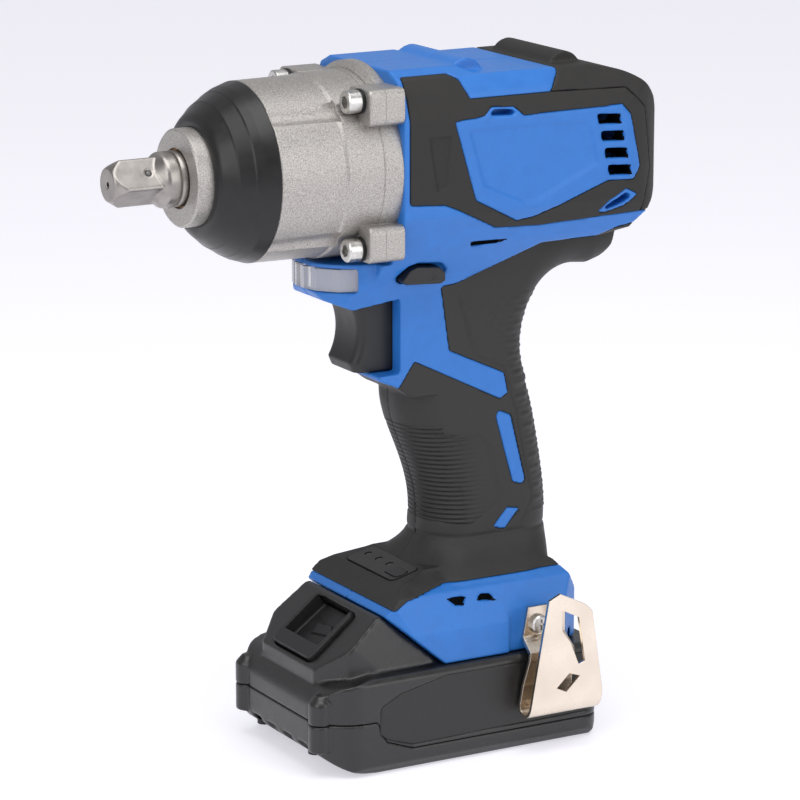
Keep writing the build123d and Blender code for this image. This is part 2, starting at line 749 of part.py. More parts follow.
# ---------------------------------------------------------------- hollows of the housing
MOTOR_HOLLOW = [  # x and radius, from the gear case to the rear bearing
    (FLANGE_BACK_X + 1, 0), (FLANGE_BACK_X + 1, 29.1), (4, 29.1), (4, 27), (STATOR_FRONT_X + 0.1, 27),
    (STATOR_FRONT_X + 0.1, STATOR_R + RUN), (STATOR_BACK_X, STATOR_R + RUN), (STATOR_BACK_X, 26.6), (
        -69.5, 26.6,
    ),
    (-69.5, 8.5), (-76.2, 8.5), (-76.2, 0),
]
HANDLE_HOLLOW = [
    (-32, 192), (-32, 160), (-35.5, 140), (-40.5, 122), (-44.5, 104), (-45.5, 84), (-45, 60), (-7, 60),
    (-7.5, 84), (-2.5, 104), (2.5, 122), (4, 136), (4, 192),
]
HANDLE_HOLLOW_HALF_W = 12.6
FOOT_WALL = 3.6
SLOT_HALF_W = 27.4        # slot in the foot that takes the battery's top block
SLOT_TOP_Z = 48.6
RAIL_IN = 24.0            # tool rails, inner edge
RAIL_LOW_Z = 39.0
RAIL_HIGH_Z = 42.0
RAIL_GAP = 0.35

TRIGGER_HALF_W = 10.6
TRIGGER_LOW_Z = 143.6
TRIGGER_HIGH_Z = 170.6
PLAY = 0.35

HOUSING_SCREWS = [  # x, z and depth of the head's seat on the right-hand side
    (-57, 189.0, 22.5), (-9, 182.5, 20.0), (-36, 164.5, 13.0), (8.6, 138.4, 14.2),
    (-40.5, 87.0, 13.0), (-12.0, 92.0, 13.0), (-42.0, 57.0, 28.5), (17.0, 56.6, 28.0),
]
HOUSING_SCREW_R = 1.6
HOUSING_SCREW_HEAD_R = 3.0
HOUSING_SCREW_TIP_Y = 7.0
BOSS_R = 3.9


def side_plane(y):
    """Plane parallel to the centre plane, with x forward and z up."""
    return Plane(origin=(0, y, 0), x_dir=(1, 0, 0), z_dir=(0, -1, 0))


with BuildPart() as hollow:
    with BuildSketch(LONG):
        with BuildLine():
            Polyline(*MOTOR_HOLLOW, close=True)
        make_face()
    revolve(axis=TOOL_AXIS)
    add(prism(HANDLE_HOLLOW, HANDLE_HOLLOW_HALF_W))
    add(foot_form(FOOT_WALL))
    with Locations((-23.7, 0, 38)):
        Box(53.0, 2 * (FOOT_HALF_W - FOOT_WALL), 6)
    with BuildSketch(Plane.XY.offset(30)):
        with Locations((-10, 0)):
            Rectangle(80.8, 2 * SLOT_HALF_W)
    extrude(amount=SLOT_TOP_Z - 30)
    with BuildSketch(side_plane(0)):
        for x, z, _ in HOUSING_SCREWS:
            with Locations((x, z)):
                Circle(BOSS_R)
    extrude(amount=FAR, both=True, mode=Mode.SUBTRACT)

with BuildPart() as trigger_pocket:
    add(prism(
        [
            (3.5, TRIGGER_LOW_Z - PLAY), (3.5, TRIGGER_HIGH_Z + PLAY), (40, TRIGGER_HIGH_Z + PLAY),
            (40, TRIGGER_LOW_Z - PLAY),
        ],
        TRIGGER_HALF_W + PLAY,
    ))

SELECTOR_OUTLINE = [
    (19.0, 179.0), (15.6, 182.8), (12.4, 183.9), (3.4, 183.0), (1.2, 181.0), (0.9, 177.9), (3.0, 176.9), (
        17.0, 177.8,
    ),
]
SELECTOR_HALF_LENGTH = 24.6

with BuildPart() as selector_pocket:
    with BuildSketch(Plane.XZ) as pocket_outline:
        with BuildLine():
            Polyline(*SELECTOR_OUTLINE, close=True)
        make_face()
        offset(amount=PLAY, kind=Kind.INTERSECTION)
    extrude(amount=FAR, both=True)
    for side in (-1, 1):
        with BuildSketch(side_plane(side * FAR)):
            with BuildLine():
                Polyline(*SELECTOR_OUTLINE, close=True)
            make_face()
            offset(amount=1.7, kind=Kind.INTERSECTION)
        extrude(amount=side * (FAR - 20.3))

LENS_LOW_Z = 176.0
LENS_HIGH_Z = 184.2
LENS_FACETS = [(33.4, 18.4), (40.6, 15.6), (45.8, 9.2), (47.5, 3.1)]


def lens_ring(outer_step, inner_step):
    """Plan outline of the wrap-around lens, thickened outward and inward from its facets."""
    outer = [(x + outer_step, y * (1 + outer_step / 18)) for x, y in LENS_FACETS]
    inner = [(x - inner_step, y * (1 - inner_step / 18)) for x, y in LENS_FACETS]
    outer += [(x, -y) for x, y in reversed(outer)]
    inner += [(x, -y) for x, y in reversed(inner)]
    return outer + list(reversed(inner))


with BuildPart() as lens:
    with BuildSketch(Plane.XY.offset(LENS_LOW_Z)):
        with BuildLine():
            Polyline(*lens_ring(0, 2.4), close=True)
        make_face()
    extrude(amount=LENS_HIGH_Z - LENS_LOW_Z)
lens.part.label = "lens"
export_step(lens.part, "parts/lens.step")

with BuildPart() as light_seat:
    with BuildSketch(Plane.XY.offset(LENS_LOW_Z - 0.2)):
        with BuildLine():
            Polyline(*lens_ring(4, 2.6), close=True)
        make_face()
    extrude(amount=LENS_HIGH_Z - LENS_LOW_Z + 0.4)
    with Locations((36.9, 0, 180.2)):
        Box(4.2, 16, 5.2)

with BuildPart() as light_board:
    with Locations((36.2, 0, 180.2)):
        Box(1.6, 15, 5)
    with Locations(*[(37.8, y, 180.2) for y in (-5, 0, 5)]):
        Box(1.6, 2.8, 2.8)
light_board.part.label = "light_board"
export_step(light_board.part, "parts/light_board.step")

# ---------------------------------------------------------------- housing shells
VENT_TOPS = [(-56.8 - 1.6 * row, 235.2 - 6.4 * row) for row in range(4)]
VENT_LENGTH = 9.8
VENT_HEIGHT = 3.7
LABEL_RECESS = [
    (-2.6, 234.0), (-52.4, 233.2), (-54.2, 231.0), (-57.6, 217.4), (-31.5, 205.4), (-26.0, 205.2), (
        -9.0, 213.0,
    ),
]
TOP_VENT = [(-11.2, 238.2), (-13.6, 240.2), (-20.8, 239.8), (-23.6, 237.6)]
REAR_VENT = [(-60.6, 199.6), (-64.0, 202.2), (-69.6, 205.2), (-73.0, 203.9), (-69.0, 201.4), (-62.6, 199.4)]
REAR_VENT_FRAME = [
    (-58.6, 198.6), (-63.2, 203.3), (-69.8, 206.7), (-75.2, 204.2), (-69.4, 200.0), (-62.3, 198.2),
]
LONG_SLOT = [(-6.6, 192.1), (-22.6, 191.7), (-18.4, 190.4), (-7.6, 190.3)]
FOOT_SLOTS = [
    [(4.2, 60.4), (-4.2, 60.1), (-2.7, 57.0), (0.5, 57.4)],
    [(-8.0, 58.0), (-10.6, 60.2), (-14.3, 59.6), (-16.5, 57.0)],
]
HOOK_SEAT = [(-20.8, FOOT_Z - 1), (-20.8, 53.8), (-45.6, 53.8), (-45.6, FOOT_Z - 1)]
HOOK_SEAT_Y = 33.8
HOOK_SCREW = (-33.0, 46.4)
HOOK_THREAD_R = 1.65
HOOK_BOSS_LENGTH = 3.6


def side_cut(outline, low_y, high_y, sides=(-1, 1)):
    """The same side outline cut between two distances from the centre plane, on each side asked for."""
    with BuildPart() as body:
        for side in sides:
            with BuildSketch(side_plane(side * high_y)):
                with BuildLine():
                    Polyline(*outline, close=True)
                make_face()
            extrude(amount=side * (high_y - low_y))
    return body.part


with BuildPart() as details:
    add(side_cut(LABEL_RECESS, BARREL_HALF_W - 0.6, FAR))
    for x, z in VENT_TOPS:
        lean = 0.7
        vent = [
            (x, z), (x - VENT_LENGTH, z - 0.6), (x - VENT_LENGTH - lean, z - 0.6 - VENT_HEIGHT),
            (x - lean, z - VENT_HEIGHT),
        ]
        add(side_cut(vent, 20, FAR))
    add(side_cut(TOP_VENT, 28, FAR))
    add(side_cut(REAR_VENT, 26, FAR))
    add(side_cut(LONG_SLOT, 26, FAR))
    for outline in FOOT_SLOTS:
        add(side_cut(outline, 29.0, FAR))
    add(side_cut(HOOK_SEAT, HOOK_SEAT_Y, FAR))
    with BuildSketch(side_plane(0)):
        with Locations(HOOK_SCREW):
            Circle(HOOK_THREAD_R)
    extrude(amount=FAR, both=True)

with BuildPart() as rear_vent_frame:
    add(overmould.part)
    add(side_cut(REAR_VENT_FRAME, 20, FAR), mode=Mode.INTERSECT)

with BuildPart() as screw_ways:
    for x, z, seat in HOUSING_SCREWS:
        with BuildSketch(side_plane(-seat)):
            with Locations((x, z)):
                Circle(HOUSING_SCREW_HEAD_R + 0.3)
        extrude(amount=FAR)
        with BuildSketch(side_plane(-seat)):
            with Locations((x, z)):
                Circle(HOUSING_SCREW_R)
        extrude(amount=-(seat + HOUSING_SCREW_TIP_Y))

with BuildPart() as housing_screws:
    for x, z, seat in HOUSING_SCREWS:
        with BuildSketch(side_plane(-seat)):
            with Locations((x, z)):
                Circle(HOUSING_SCREW_HEAD_R)
        extrude(amount=2.2)
        with BuildSketch(side_plane(-seat - 2.2)):
            with Locations((x, z)):
                RegularPolygon(1.6, 6)
        extrude(amount=-1.4, mode=Mode.SUBTRACT)
        with BuildSketch(side_plane(-seat)):
            with Locations((x, z)):
                Circle(HOUSING_SCREW_R)
        extrude(amount=-(seat + HOUSING_SCREW_TIP_Y - 0.5))
housing_screws.part.label = "housing_screws"
export_step(housing_screws.part, "parts/housing_screws.step")

COVER_SCREWS_TOP = [(-61, y) for y in (-19, 19)]
COVER_SCREWS_BACK = [(y, -14.5) for y in (-20, 20)]
COVER_SCREW_R = 1.5
COVER_HEAD_R = 2.7
COVER_SEAT_X = -85.5

with BuildPart() as cover_screws:
    for x, y in COVER_SCREWS_TOP:
        with BuildSketch(Plane.XY.offset(241.6)):
            with Locations((x, y)):
                Circle(COVER_SCREW_R)
        extrude(amount=7)
        with BuildSketch(Plane.XY.offset(248)):
            with Locations((x, y)):
                Circle(COVER_HEAD_R)
                RegularPolygon(1.4, 6, mode=Mode.SUBTRACT)
        extrude(amount=2)
    for y, z in COVER_SCREWS_BACK:
        with BuildSketch(across(COVER_SEAT_X)):
            with Locations((y, z)):
                Circle(COVER_SCREW_R)
        extrude(amount=14)
        with BuildSketch(across(COVER_SEAT_X - 2.6)):
            with Locations((y, z)):
                Circle(COVER_HEAD_R)
                RegularPolygon(1.4, 6, mode=Mode.SUBTRACT)
        extrude(amount=2.6)
cover_screws.part.label = "cover_screws"
export_step(cover_screws.part, "parts/cover_screws.step")

with BuildPart() as cover_ways:
    for x, y in COVER_SCREWS_TOP:
        with BuildSketch(Plane.XY.offset(241.4)):
            with Locations((x, y)):
                Circle(COVER_SCREW_R)
        extrude(amount=7)
        with BuildSketch(Plane.XY.offset(248)):
            with Locations((x, y)):
                Circle(COVER_HEAD_R + 0.3)
        extrude(amount=10)
    for y, z in COVER_SCREWS_BACK:
        with BuildSketch(across(COVER_SEAT_X)):
            with Locations((y, z)):
                Circle(COVER_SCREW_R)
        extrude(amount=14.3)
        with BuildSketch(across(COVER_SEAT_X)):
            with Locations((y, z)):
                Circle(COVER_HEAD_R + 0.3)
        extrude(amount=-10)

with BuildPart() as rear_cover:
    add(form_outer)
    add(prism(COVER_REGION), mode=Mode.INTERSECT)
    add(hollow.part, mode=Mode.SUBTRACT)
    with BuildSketch(across(-88.0)):
        Circle(24)
        with Locations(*COVER_SCREWS_BACK):
            Circle(5, mode=Mode.SUBTRACT)
    extrude(amount=7, mode=Mode.SUBTRACT)
    add(cover_ways.part, mode=Mode.SUBTRACT)
    for side in (-1, 1):
        with BuildSketch(side_plane(side * FAR)):
            with BuildLine():
                Polyline((-78.6, 230.5), (-84.6, 228.5), (-88.4, 214), (-84.6, 212.4), close=True)
            make_face()
        extrude(amount=side * (FAR - 31.5), mode=Mode.SUBTRACT)
rear_cover.part.label = "rear_cover"
export_step(rear_cover.part, "parts/rear_cover.step")

with BuildPart() as shells:
    add(form_outer)
    add(barrel_skin.part, mode=Mode.SUBTRACT)
    add(rear_vent_frame.part)
    add(grip_skin.part, mode=Mode.SUBTRACT)
    add(prism(COVER_REGION), mode=Mode.SUBTRACT)
    add(hollow.part, mode=Mode.SUBTRACT)
    for side in (-1, 1):
        with Locations((-23.5, side * (RAIL_IN + FOOT_HALF_W - 2) / 2, (RAIL_LOW_Z + RAIL_HIGH_Z) / 2)):
            Box(47, FOOT_HALF_W - 2 - RAIL_IN, RAIL_HIGH_Z - RAIL_LOW_Z)
        with BuildSketch(side_plane(side * (FOOT_HALF_W - FOOT_WALL + 0.1))):
            with Locations(HOOK_SCREW):
                Circle(BOSS_R)
        extrude(amount=side * HOOK_BOSS_LENGTH)
    with Locations((-16, 0, SLOT_TOP_Z + 1)):
        Box(68, 2 * (FOOT_HALF_W - FOOT_WALL + 0.1), 1.6)
    with Locations((-27.8, 0, SLOT_TOP_Z + 1)):
        Box(20.2, 34.6, 4, mode=Mode.SUBTRACT)
    add(trigger_pocket.part, mode=Mode.SUBTRACT)
    add(selector_pocket.part, mode=Mode.SUBTRACT)
    add(light_seat.part, mode=Mode.SUBTRACT)
    add(details.part, mode=Mode.SUBTRACT)
    add(screw_ways.part, mode=Mode.SUBTRACT)
    add(cover_ways.part, mode=Mode.SUBTRACT)
    with BuildSketch(across(SCREW_TIP_X)):
        with Locations(*FOUR_SCREWS):
            Circle(SCREW_R)
    extrude(amount=10, mode=Mode.SUBTRACT)

for side, keep in (("left", Keep.BOTTOM), ("right", Keep.TOP)):
    with BuildPart() as housing_half:
        add(shells.part)
        split(bisect_by=Plane.XZ, keep=keep)
    housing_half.part.label = f"{side}_housing"
    export_step(housing_half.part, f"parts/{side}_housing.step")

PANEL_PLANE = Plane(origin=(13.6, 0, 67.4), x_dir=(0, 1, 0), z_dir=(0.249, 0, 0.9685))
BUTTON_PLACE = (12.4, -1.0)
LIGHT_PLACES = [(y, 1.2) for y in (-12.6, -4.6, 3.4)]

with BuildPart() as panel_seat:
    with BuildSketch(PANEL_PLANE.offset(-1.2)):
        RectangleRounded(35.4, 12.4, 2.4)
    extrude(amount=6)

with BuildPart() as control_panel:
    with BuildSketch(PANEL_PLANE.offset(-1.2)):
        RectangleRounded(35, 12, 2.2)
        with Locations(BUTTON_PLACE):
            RectangleRounded(9.4, 6.0, 1.6, mode=Mode.SUBTRACT)
        with Locations(*LIGHT_PLACES):
            Circle(1.5, mode=Mode.SUBTRACT)
    extrude(amount=1.5)
control_panel.part.label = "control_panel"
export_step(control_panel.part, "parts/control_panel.step")

with BuildPart() as indicator_lights:
    with BuildSketch(PANEL_PLANE.offset(-1.2)):
        with Locations(*LIGHT_PLACES):
            Circle(1.4)
    extrude(amount=1.2)
indicator_lights.part.label = "indicator_lights"
export_step(indicator_lights.part, "parts/indicator_lights.step")

with BuildPart() as mode_button:
    with BuildSketch(PANEL_PLANE.offset(-0.4)):
        with Locations(BUTTON_PLACE):
            RectangleRounded(8.8, 5.4, 1.4)
    extrude(amount=1.0)
mode_button.part.label = "mode_button"
export_step(mode_button.part, "parts/mode_button.step")

with BuildPart() as panel_way:
    with BuildSketch(PANEL_PLANE.offset(-2.2)):
        with Locations(BUTTON_PLACE):
            RectangleRounded(9.4, 6.0, 1.6)
    extrude(amount=6)
    add(panel_seat.part)

SIDE_RECESS = [(13.6, 232.4), (4.2, 232.4), (6.6, 213.6), (10.2, 212.0)]

with BuildPart() as soft_barrel:
    add(barrel_skin.part)
    add(rear_vent_frame.part, mode=Mode.SUBTRACT)
    add(side_cut(SIDE_RECESS, BARREL_HALF_W - 0.8, FAR), mode=Mode.SUBTRACT)
    with BuildSketch(across(SCREW_TIP_X)):
        with Locations(*FOUR_SCREWS):
            Circle(SCREW_R + 0.1)
    extrude(amount=10, mode=Mode.SUBTRACT)

with BuildPart() as soft_grip:
    add(grip_skin.part)
    add(panel_way.part, mode=Mode.SUBTRACT)
    add(screw_ways.part, mode=Mode.SUBTRACT)

for side, keep in (("left", Keep.BOTTOM), ("right", Keep.TOP)):
    with BuildPart() as barrel_grip:
        add(soft_barrel.part)
        split(bisect_by=Plane.XZ, keep=keep)
    barrel_grip.part.label = f"{side}_barrel_overmould"
    export_step(barrel_grip.part, f"parts/{side}_barrel_overmould.step")
    with BuildPart() as handle_grip:
        add(soft_grip.part)
        split(bisect_by=Plane.XZ, keep=keep)
    handle_grip.part.label = f"{side}_grip_overmould"
    export_step(handle_grip.part, f"parts/{side}_grip_overmould.step")

# ---------------------------------------------------------------- controls and electronics
TRIGGER_BACK_X = 11.0

with BuildPart() as trigger:
    with BuildSketch(Plane.XZ):
        with BuildLine():
            Polyline(
                (23.5, TRIGGER_LOW_Z), (TRIGGER_BACK_X, TRIGGER_LOW_Z), (TRIGGER_BACK_X, TRIGGER_HIGH_Z),
                (30.6, TRIGGER_HIGH_Z), (31.0, 168.2),
            )
            finger = ThreePointArc((31.0, 168.2), (28.6, 158.5), (31.8, 147.2))
            Polyline(finger @ 1, (30.2, TRIGGER_LOW_Z), (23.5, TRIGGER_LOW_Z))
        make_face()
    extrude(amount=TRIGGER_HALF_W, both=True)
    front = trigger.edges().filter_by_position(Axis.X, 28, 34)
    fillet(front.filter_by(lambda edge: abs(abs(edge.center().Y) - TRIGGER_HALF_W) < 0.01), 3.4)
trigger.part.label = "trigger"
export_step(trigger.part, "parts/trigger.step")

with BuildPart() as switch_module:
    with Locations((-12, 0, 158)):
        Box(22, 20, 22)
    with Locations((-6, 0, 171)):
        Box(10, 14, 5)
switch_module.part.label = "switch_module"
export_step(switch_module.part, "parts/switch_module.step")

with BuildPart() as trigger_spring:
    with BuildLine() as trigger_coil:
        Helix(pitch=2.2, height=10.6, radius=3.2, center=(-0.3, 0, 157), direction=(1, 0, 0))
    with BuildSketch(Plane(origin=trigger_coil.line @ 0, z_dir=trigger_coil.line % 0)):
        Circle(0.45)
    sweep(path=trigger_coil.line, is_frenet=True)
trigger_spring.part.label = "trigger_spring"
export_step(trigger_spring.part, "parts/trigger_spring.step")

with BuildPart() as direction_selector:
    with BuildSketch(Plane.XZ):
        with BuildLine():
            Polyline(*SELECTOR_OUTLINE, close=True)
        make_face()
    extrude(amount=SELECTOR_HALF_LENGTH, both=True)
    fillet(direction_selector.edges().filter_by(Axis.Y), 0.8)
    for side in (-1, 1):
        with BuildSketch(side_plane(side * (SELECTOR_HALF_LENGTH + 1))):
            with BuildLine():
                Polyline((4.2, 178.4), (5.6, 181.2), (6.8, 179.0), close=True)
            make_face()
        extrude(amount=side * 1.5, mode=Mode.SUBTRACT)
direction_selector.part.label = "direction_selector"
export_step(direction_selector.part, "parts/direction_selector.step")

with BuildPart() as control_board:
    with Locations((-16.5, 0, 59.2)):
        Box(41, 40, 1.6)
    with Locations((-16, -8, 61), (-30, 10, 61)):
        Box(8, 8, 2)
control_board.part.label = "control_board"
export_step(control_board.part, "parts/control_board.step")

BLADE_ROWS = (-12, -4, 4, 12)
with BuildPart() as terminal_block:
    with Locations((-27.8, 0, 52.9)):
        Box(19.6, 34, 7.6)
terminal_block.part.label = "terminal_block"
export_step(terminal_block.part, "parts/terminal_block.step")

with BuildPart() as terminal_blades:
    with Locations(*[(-29, y, 45.6) for y in BLADE_ROWS]):
        Box(14, 0.8, 7)
terminal_blades.part.label = "terminal_blades"
export_step(terminal_blades.part, "parts/terminal_blades.step")

# ---------------------------------------------------------------- belt hook
HOOK_STRIP = 1.3
HOOK_PLATE_Y = 47.6
HOOK_PLATE = [
    (-29.6, 58.6), (-34.6, 60.8), (-45.4, 55.6), (-48.4, 52.6), (-53.2, 21.0), (-52.6, 17.0), (-22.0, 16.4),
]
HOOK_WINDOW = [(-35.4, 54.4), (-42.6, 50.8), (-45.4, 33.6), (-42.6, 32.8), (-39.0, 41.6), (-35.4, 46.6)]
HOOK_DIAMOND = [(-38.6, 29.8), (-43.2, 28.2), (-37.4, 22.8), (-33.2, 24.8)]

with BuildPart() as belt_hook:
    with BuildSketch(Plane.YZ.offset(-21.9)):
        with BuildLine() as hook_path:
            Polyline(
                (34.55, 53.2), (34.55, 42.0), (36.2, 40.4), (41.2, 37.2), (41.6, 35.2), (39.8, 25.0),
                (39.8, 18.6),
            )
            foot_bend = ThreePointArc((39.8, 18.6), (43.7, 14.4), (HOOK_PLATE_Y, 18.6))
            Line(foot_bend @ 1, (HOOK_PLATE_Y, 62))
        trace(line_width=HOOK_STRIP)
    extrude(amount=-32)
    with BuildSketch(side_plane(60)):
        with BuildLine():
            Polyline(*HOOK_PLATE[:-1], (-51.6, 10), (-21.9, 10), (-21.9, 16.4), (-29.6, 58.6), close=True)
        make_face()
    extrude(amount=30, mode=Mode.INTERSECT)
    add(side_cut(HOOK_WINDOW, 44.5, FAR, sides=(1,)), mode=Mode.SUBTRACT)
    add(side_cut(HOOK_DIAMOND, 44.5, FAR, sides=(1,)), mode=Mode.SUBTRACT)
    with BuildSketch(side_plane(30)):
        with BuildLine():
            Polyline((-44.6, 54), (-60, 54), (-60, 8), (-44.6, 8), close=True)
        make_face()
    extrude(amount=-14.6, mode=Mode.SUBTRACT)
    with BuildSketch(side_plane(30)):
        with Locations(HOOK_SCREW):
            Circle(2.1)
    extrude(amount=-8, mode=Mode.SUBTRACT)
belt_hook.part.label = "belt_hook"
export_step(belt_hook.part, "parts/belt_hook.step")

with BuildPart() as hook_screw:
    with BuildSketch(side_plane(35.25)):
        with Locations(HOOK_SCREW):
            Circle(3.6)
    extrude(amount=-2.2)
    chamfer(hook_screw.edges().filter_by(GeomType.CIRCLE).sort_by(Axis.Y)[-1], 0.7)
    with BuildSketch(side_plane(37.45)):
        with Locations(HOOK_SCREW):
            Rectangle(4.2, 0.9)
            Rectangle(0.9, 4.2)
    extrude(amount=1.2, mode=Mode.SUBTRACT)
    with BuildSketch(side_plane(35.25)):
        with Locations(HOOK_SCREW):
            Circle(HOOK_THREAD_R)
    extrude(amount=6.5)
hook_screw.part.label = "hook_screw"
export_step(hook_screw.part, "parts/hook_screw.step")

# ---------------------------------------------------------------- battery pack
PACK_SPLIT = [(-80, 8.0), (22, 8.0), (33, 12.0), (36.6, 20.0), (80, 20.0)]
PACK_INLAY = [
    (-54.6, 10.0), (-56.6, 33.4), (8, 33.6), (27, 29.6), (35.4, 25.4), (36.0, 15.4), (32.6, 12.6), (22, 9.2),
]
SLOPE = Plane(origin=(40.75, 0, 47.2), x_dir=(0, 1, 0), z_dir=(0.625, 0, 0.781))
PILLAR_X = 55.6
PILLAR_Y = 28.7
PILLAR_R = 4.4
CELL_Z = 15.0
CELL_X = [CELL_PITCH * k for k in (-2, -1, 0, 1, 2)]
PACK_SCREWS = [(-53.8, -32.0), (-53.8, 32.0), (52.9, -20.0), (52.9, 20.0)]
PACK_SCREW_R = 1.5
PACK_HEAD_R = 2.8
BUTTON_OUTLINE_W = 30.0
PACK_NOSE_R = 17.0
PACK_TAIL_R = 8.0
PACK_WALL = 2.4

with BuildPart() as pack_form:
    with BuildSketch(Plane.XZ):
        with BuildLine():
            bow = Polyline((-BATTERY_X + 4, 0), (34, 0))
            lift = ThreePointArc(bow @ 1, (49, 3.2), (57.6, 9.6))
            nose = Polyline(lift @ 1, (57.8, 25.2))
            brow = ThreePointArc(nose @ 1, (55.2, 30.6), (48, 34.4))
            Polyline(
                brow @ 1, (38, 36.5), (-BATTERY_X + 1.2, 36.5), (-BATTERY_X, 35.3), (-BATTERY_X, 6),
                (-BATTERY_X + 4, 0),
            )
        make_face()
    extrude(amount=BATTERY_Y, both=True)
    with BuildSketch(Plane.YZ):
        with BuildLine():
            half = [(BATTERY_Y - 2.6, 0), (BATTERY_Y, 3.4), (BATTERY_Y, 34.4), (BATTERY_Y - 2, 36.6)]
            Polyline(*half, *[(-y, z) for y, z in reversed(half)], close=True)
        make_face()
    extrude(amount=80, both=True, mode=Mode.INTERSECT)
    with BuildSketch(Plane.XY) as pack_plan:
        with Locations((-1.1, 0)):
            Rectangle(117.8, 2 * BATTERY_Y)
        fillet(pack_plan.vertices().group_by(Axis.X)[-1], PACK_NOSE_R)
        fillet(pack_plan.vertices().group_by(Axis.X)[0], PACK_TAIL_R)
    extrude(amount=60, mode=Mode.INTERSECT)
    for y in (-PILLAR_Y, PILLAR_Y):
        with BuildSketch(Plane.XY.offset(9.6)):
            with Locations((PILLAR_X, y)):
                Circle(PILLAR_R)
        extrude(amount=18.4)
        with BuildSketch(Plane.XY.offset(28)):
            with Locations((PILLAR_X, y)):
                Circle(PILLAR_R)
        extrude(amount=3, taper=40)

with BuildPart() as pack_shoulder:
    with BuildSketch(Plane.XZ):
        with BuildLine():
            Polyline((6.9, 36.4), (29.8, 56.4), (31.4, 56.0), (53.6, 37.8), (53.6, 30), (6.9, 30), close=True)
        make_face()
    extrude(amount=FAR, both=True)
    with BuildSketch(Plane.YZ):
        with BuildLine():
            half = [(31.8, 30), (31.8, 36), (27.6, 56.6)]
            Polyline(*half, *[(-y, z) for y, z in reversed(half)], close=True)
        make_face()
    extrude(amount=80, both=True, mode=Mode.INTERSECT)
    with BuildSketch(Plane.XY.offset(20)):
        with BuildLine():
            half = [(56, 18), (44, 29.5), (30, 32), (0, 32)]
            Polyline(*half, *[(x, -y) for x, y in reversed(half)], close=True)
        make_face()
    extrude(amount=60, mode=Mode.INTERSECT)
    with BuildSketch(Plane.XZ):
        with BuildLine():
            Polyline((-46, 34), (-46, 48.2), (21, 48.2), (21, 34), close=True)
        make_face()
    extrude(amount=SLOT_HALF_W - RAIL_GAP, both=True)
    for side in (-1, 1):
        with Locations((-24, side * (RAIL_IN - RAIL_GAP + 5), (RAIL_LOW_Z + RAIL_HIGH_Z) / 2)):
            Box(50, 10, RAIL_HIGH_Z - RAIL_LOW_Z + 2 * RAIL_GAP, mode=Mode.SUBTRACT)
    with Locations(*[(-33, y, 45.4) for y in BLADE_ROWS]):
        Box(27, 2.0, 9, mode=Mode.SUBTRACT)

with BuildPart() as pack_hollow:
    with BuildSketch(Plane.XZ):
        with BuildLine():
            Polyline(
                (-57, 2.6), (36, 2.6), (46, 4.6), (54.6, 11), (54.6, 25), (48, 31), (38, 33.6),
                (-57, 33.6), close=True,
            )
        make_face()
    extrude(amount=BATTERY_Y - PACK_WALL, both=True)
    with BuildSketch(Plane.XY) as hollow_plan:
        with Locations((-1.1, 0)):
            Rectangle(117.8 - 2 * PACK_WALL, 2 * (BATTERY_Y - PACK_WALL))
        fillet(hollow_plan.vertices().group_by(Axis.X)[-1], PACK_NOSE_R - PACK_WALL)
        fillet(hollow_plan.vertices().group_by(Axis.X)[0], PACK_TAIL_R - PACK_WALL)
    extrude(amount=60, mode=Mode.INTERSECT)
    with BuildSketch(Plane.XY):
        with Locations(*PACK_SCREWS):
            Circle(3.4)
    extrude(amount=60, mode=Mode.SUBTRACT)
    for y in (-PILLAR_Y, PILLAR_Y):
        with BuildSketch(Plane.XY):
            with Locations((PILLAR_X, y)):
                Circle(PILLAR_R + 1)
        extrude(amount=60, mode=Mode.SUBTRACT)

with BuildPart() as pack_screw_ways:
    with BuildSketch(Plane.XY.offset(8)):
        with Locations(*PACK_SCREWS):
            Circle(PACK_SCREW_R)
    extrude(amount=18)
    with BuildSketch(Plane.XY.offset(8)):
        with Locations(*PACK_SCREWS):
            Circle(PACK_HEAD_R + 0.3)
    extrude(amount=-10)

with BuildPart() as pack_screws:
    with BuildSketch(Plane.XY.offset(8)):
        with Locations(*PACK_SCREWS):
            Circle(PACK_SCREW_R)
    extrude(amount=17.5)
    with BuildSketch(Plane.XY.offset(8)):
        with Locations(*PACK_SCREWS):
            Circle(PACK_HEAD_R)
    extrude(amount=-2)
    with BuildSketch(Plane.XY.offset(6)):
        with Locations(*PACK_SCREWS):
            RegularPolygon(1.5, 6)
    extrude(amount=1.3, mode=Mode.SUBTRACT)
pack_screws.part.label = "pack_screws"
export_step(pack_screws.part, "parts/pack_screws.step")

with BuildPart() as button_way:
    with BuildSketch(SLOPE.offset(-11)):
        with Locations((0, -1.5)):
            RectangleRounded(BUTTON_OUTLINE_W + 1.0, 25.0, 3.4)
    extrude(amount=30)

with BuildPart() as release_button:
    with BuildSketch(SLOPE.offset(-6.5)):
        with Locations((0, -1.5)):
            RectangleRounded(BUTTON_OUTLINE_W, 24.0, 3.0)
    extrude(amount=9.0)
    with BuildSketch(Plane.YZ.offset(70)):
        with Locations((0, 45)):
            Rectangle(60, 60)
    extrude(amount=-60, mode=Mode.INTERSECT)
    with BuildSketch(Plane.XZ):
        with BuildLine():
            Polyline((28, 52.6), (44.6, 40.6), (48.2, 44.2), (36.0, 60), (28, 60), close=True)
        make_face()
    extrude(amount=BUTTON_OUTLINE_W / 2 - 2.2, both=True, mode=Mode.SUBTRACT)
    with BuildSketch(SLOPE.offset(-4.2)):
        with Locations((1.5, -4.0)):
            with BuildLine():
                Polyline((-6.4, 2.2), (3.4, 3.2), (7.6, -0.6), (-4.2, -2.6), close=True)
            make_face()
    extrude(amount=2.1)
release_button.part.label = "release_button"
export_step(release_button.part, "parts/release_button.step")

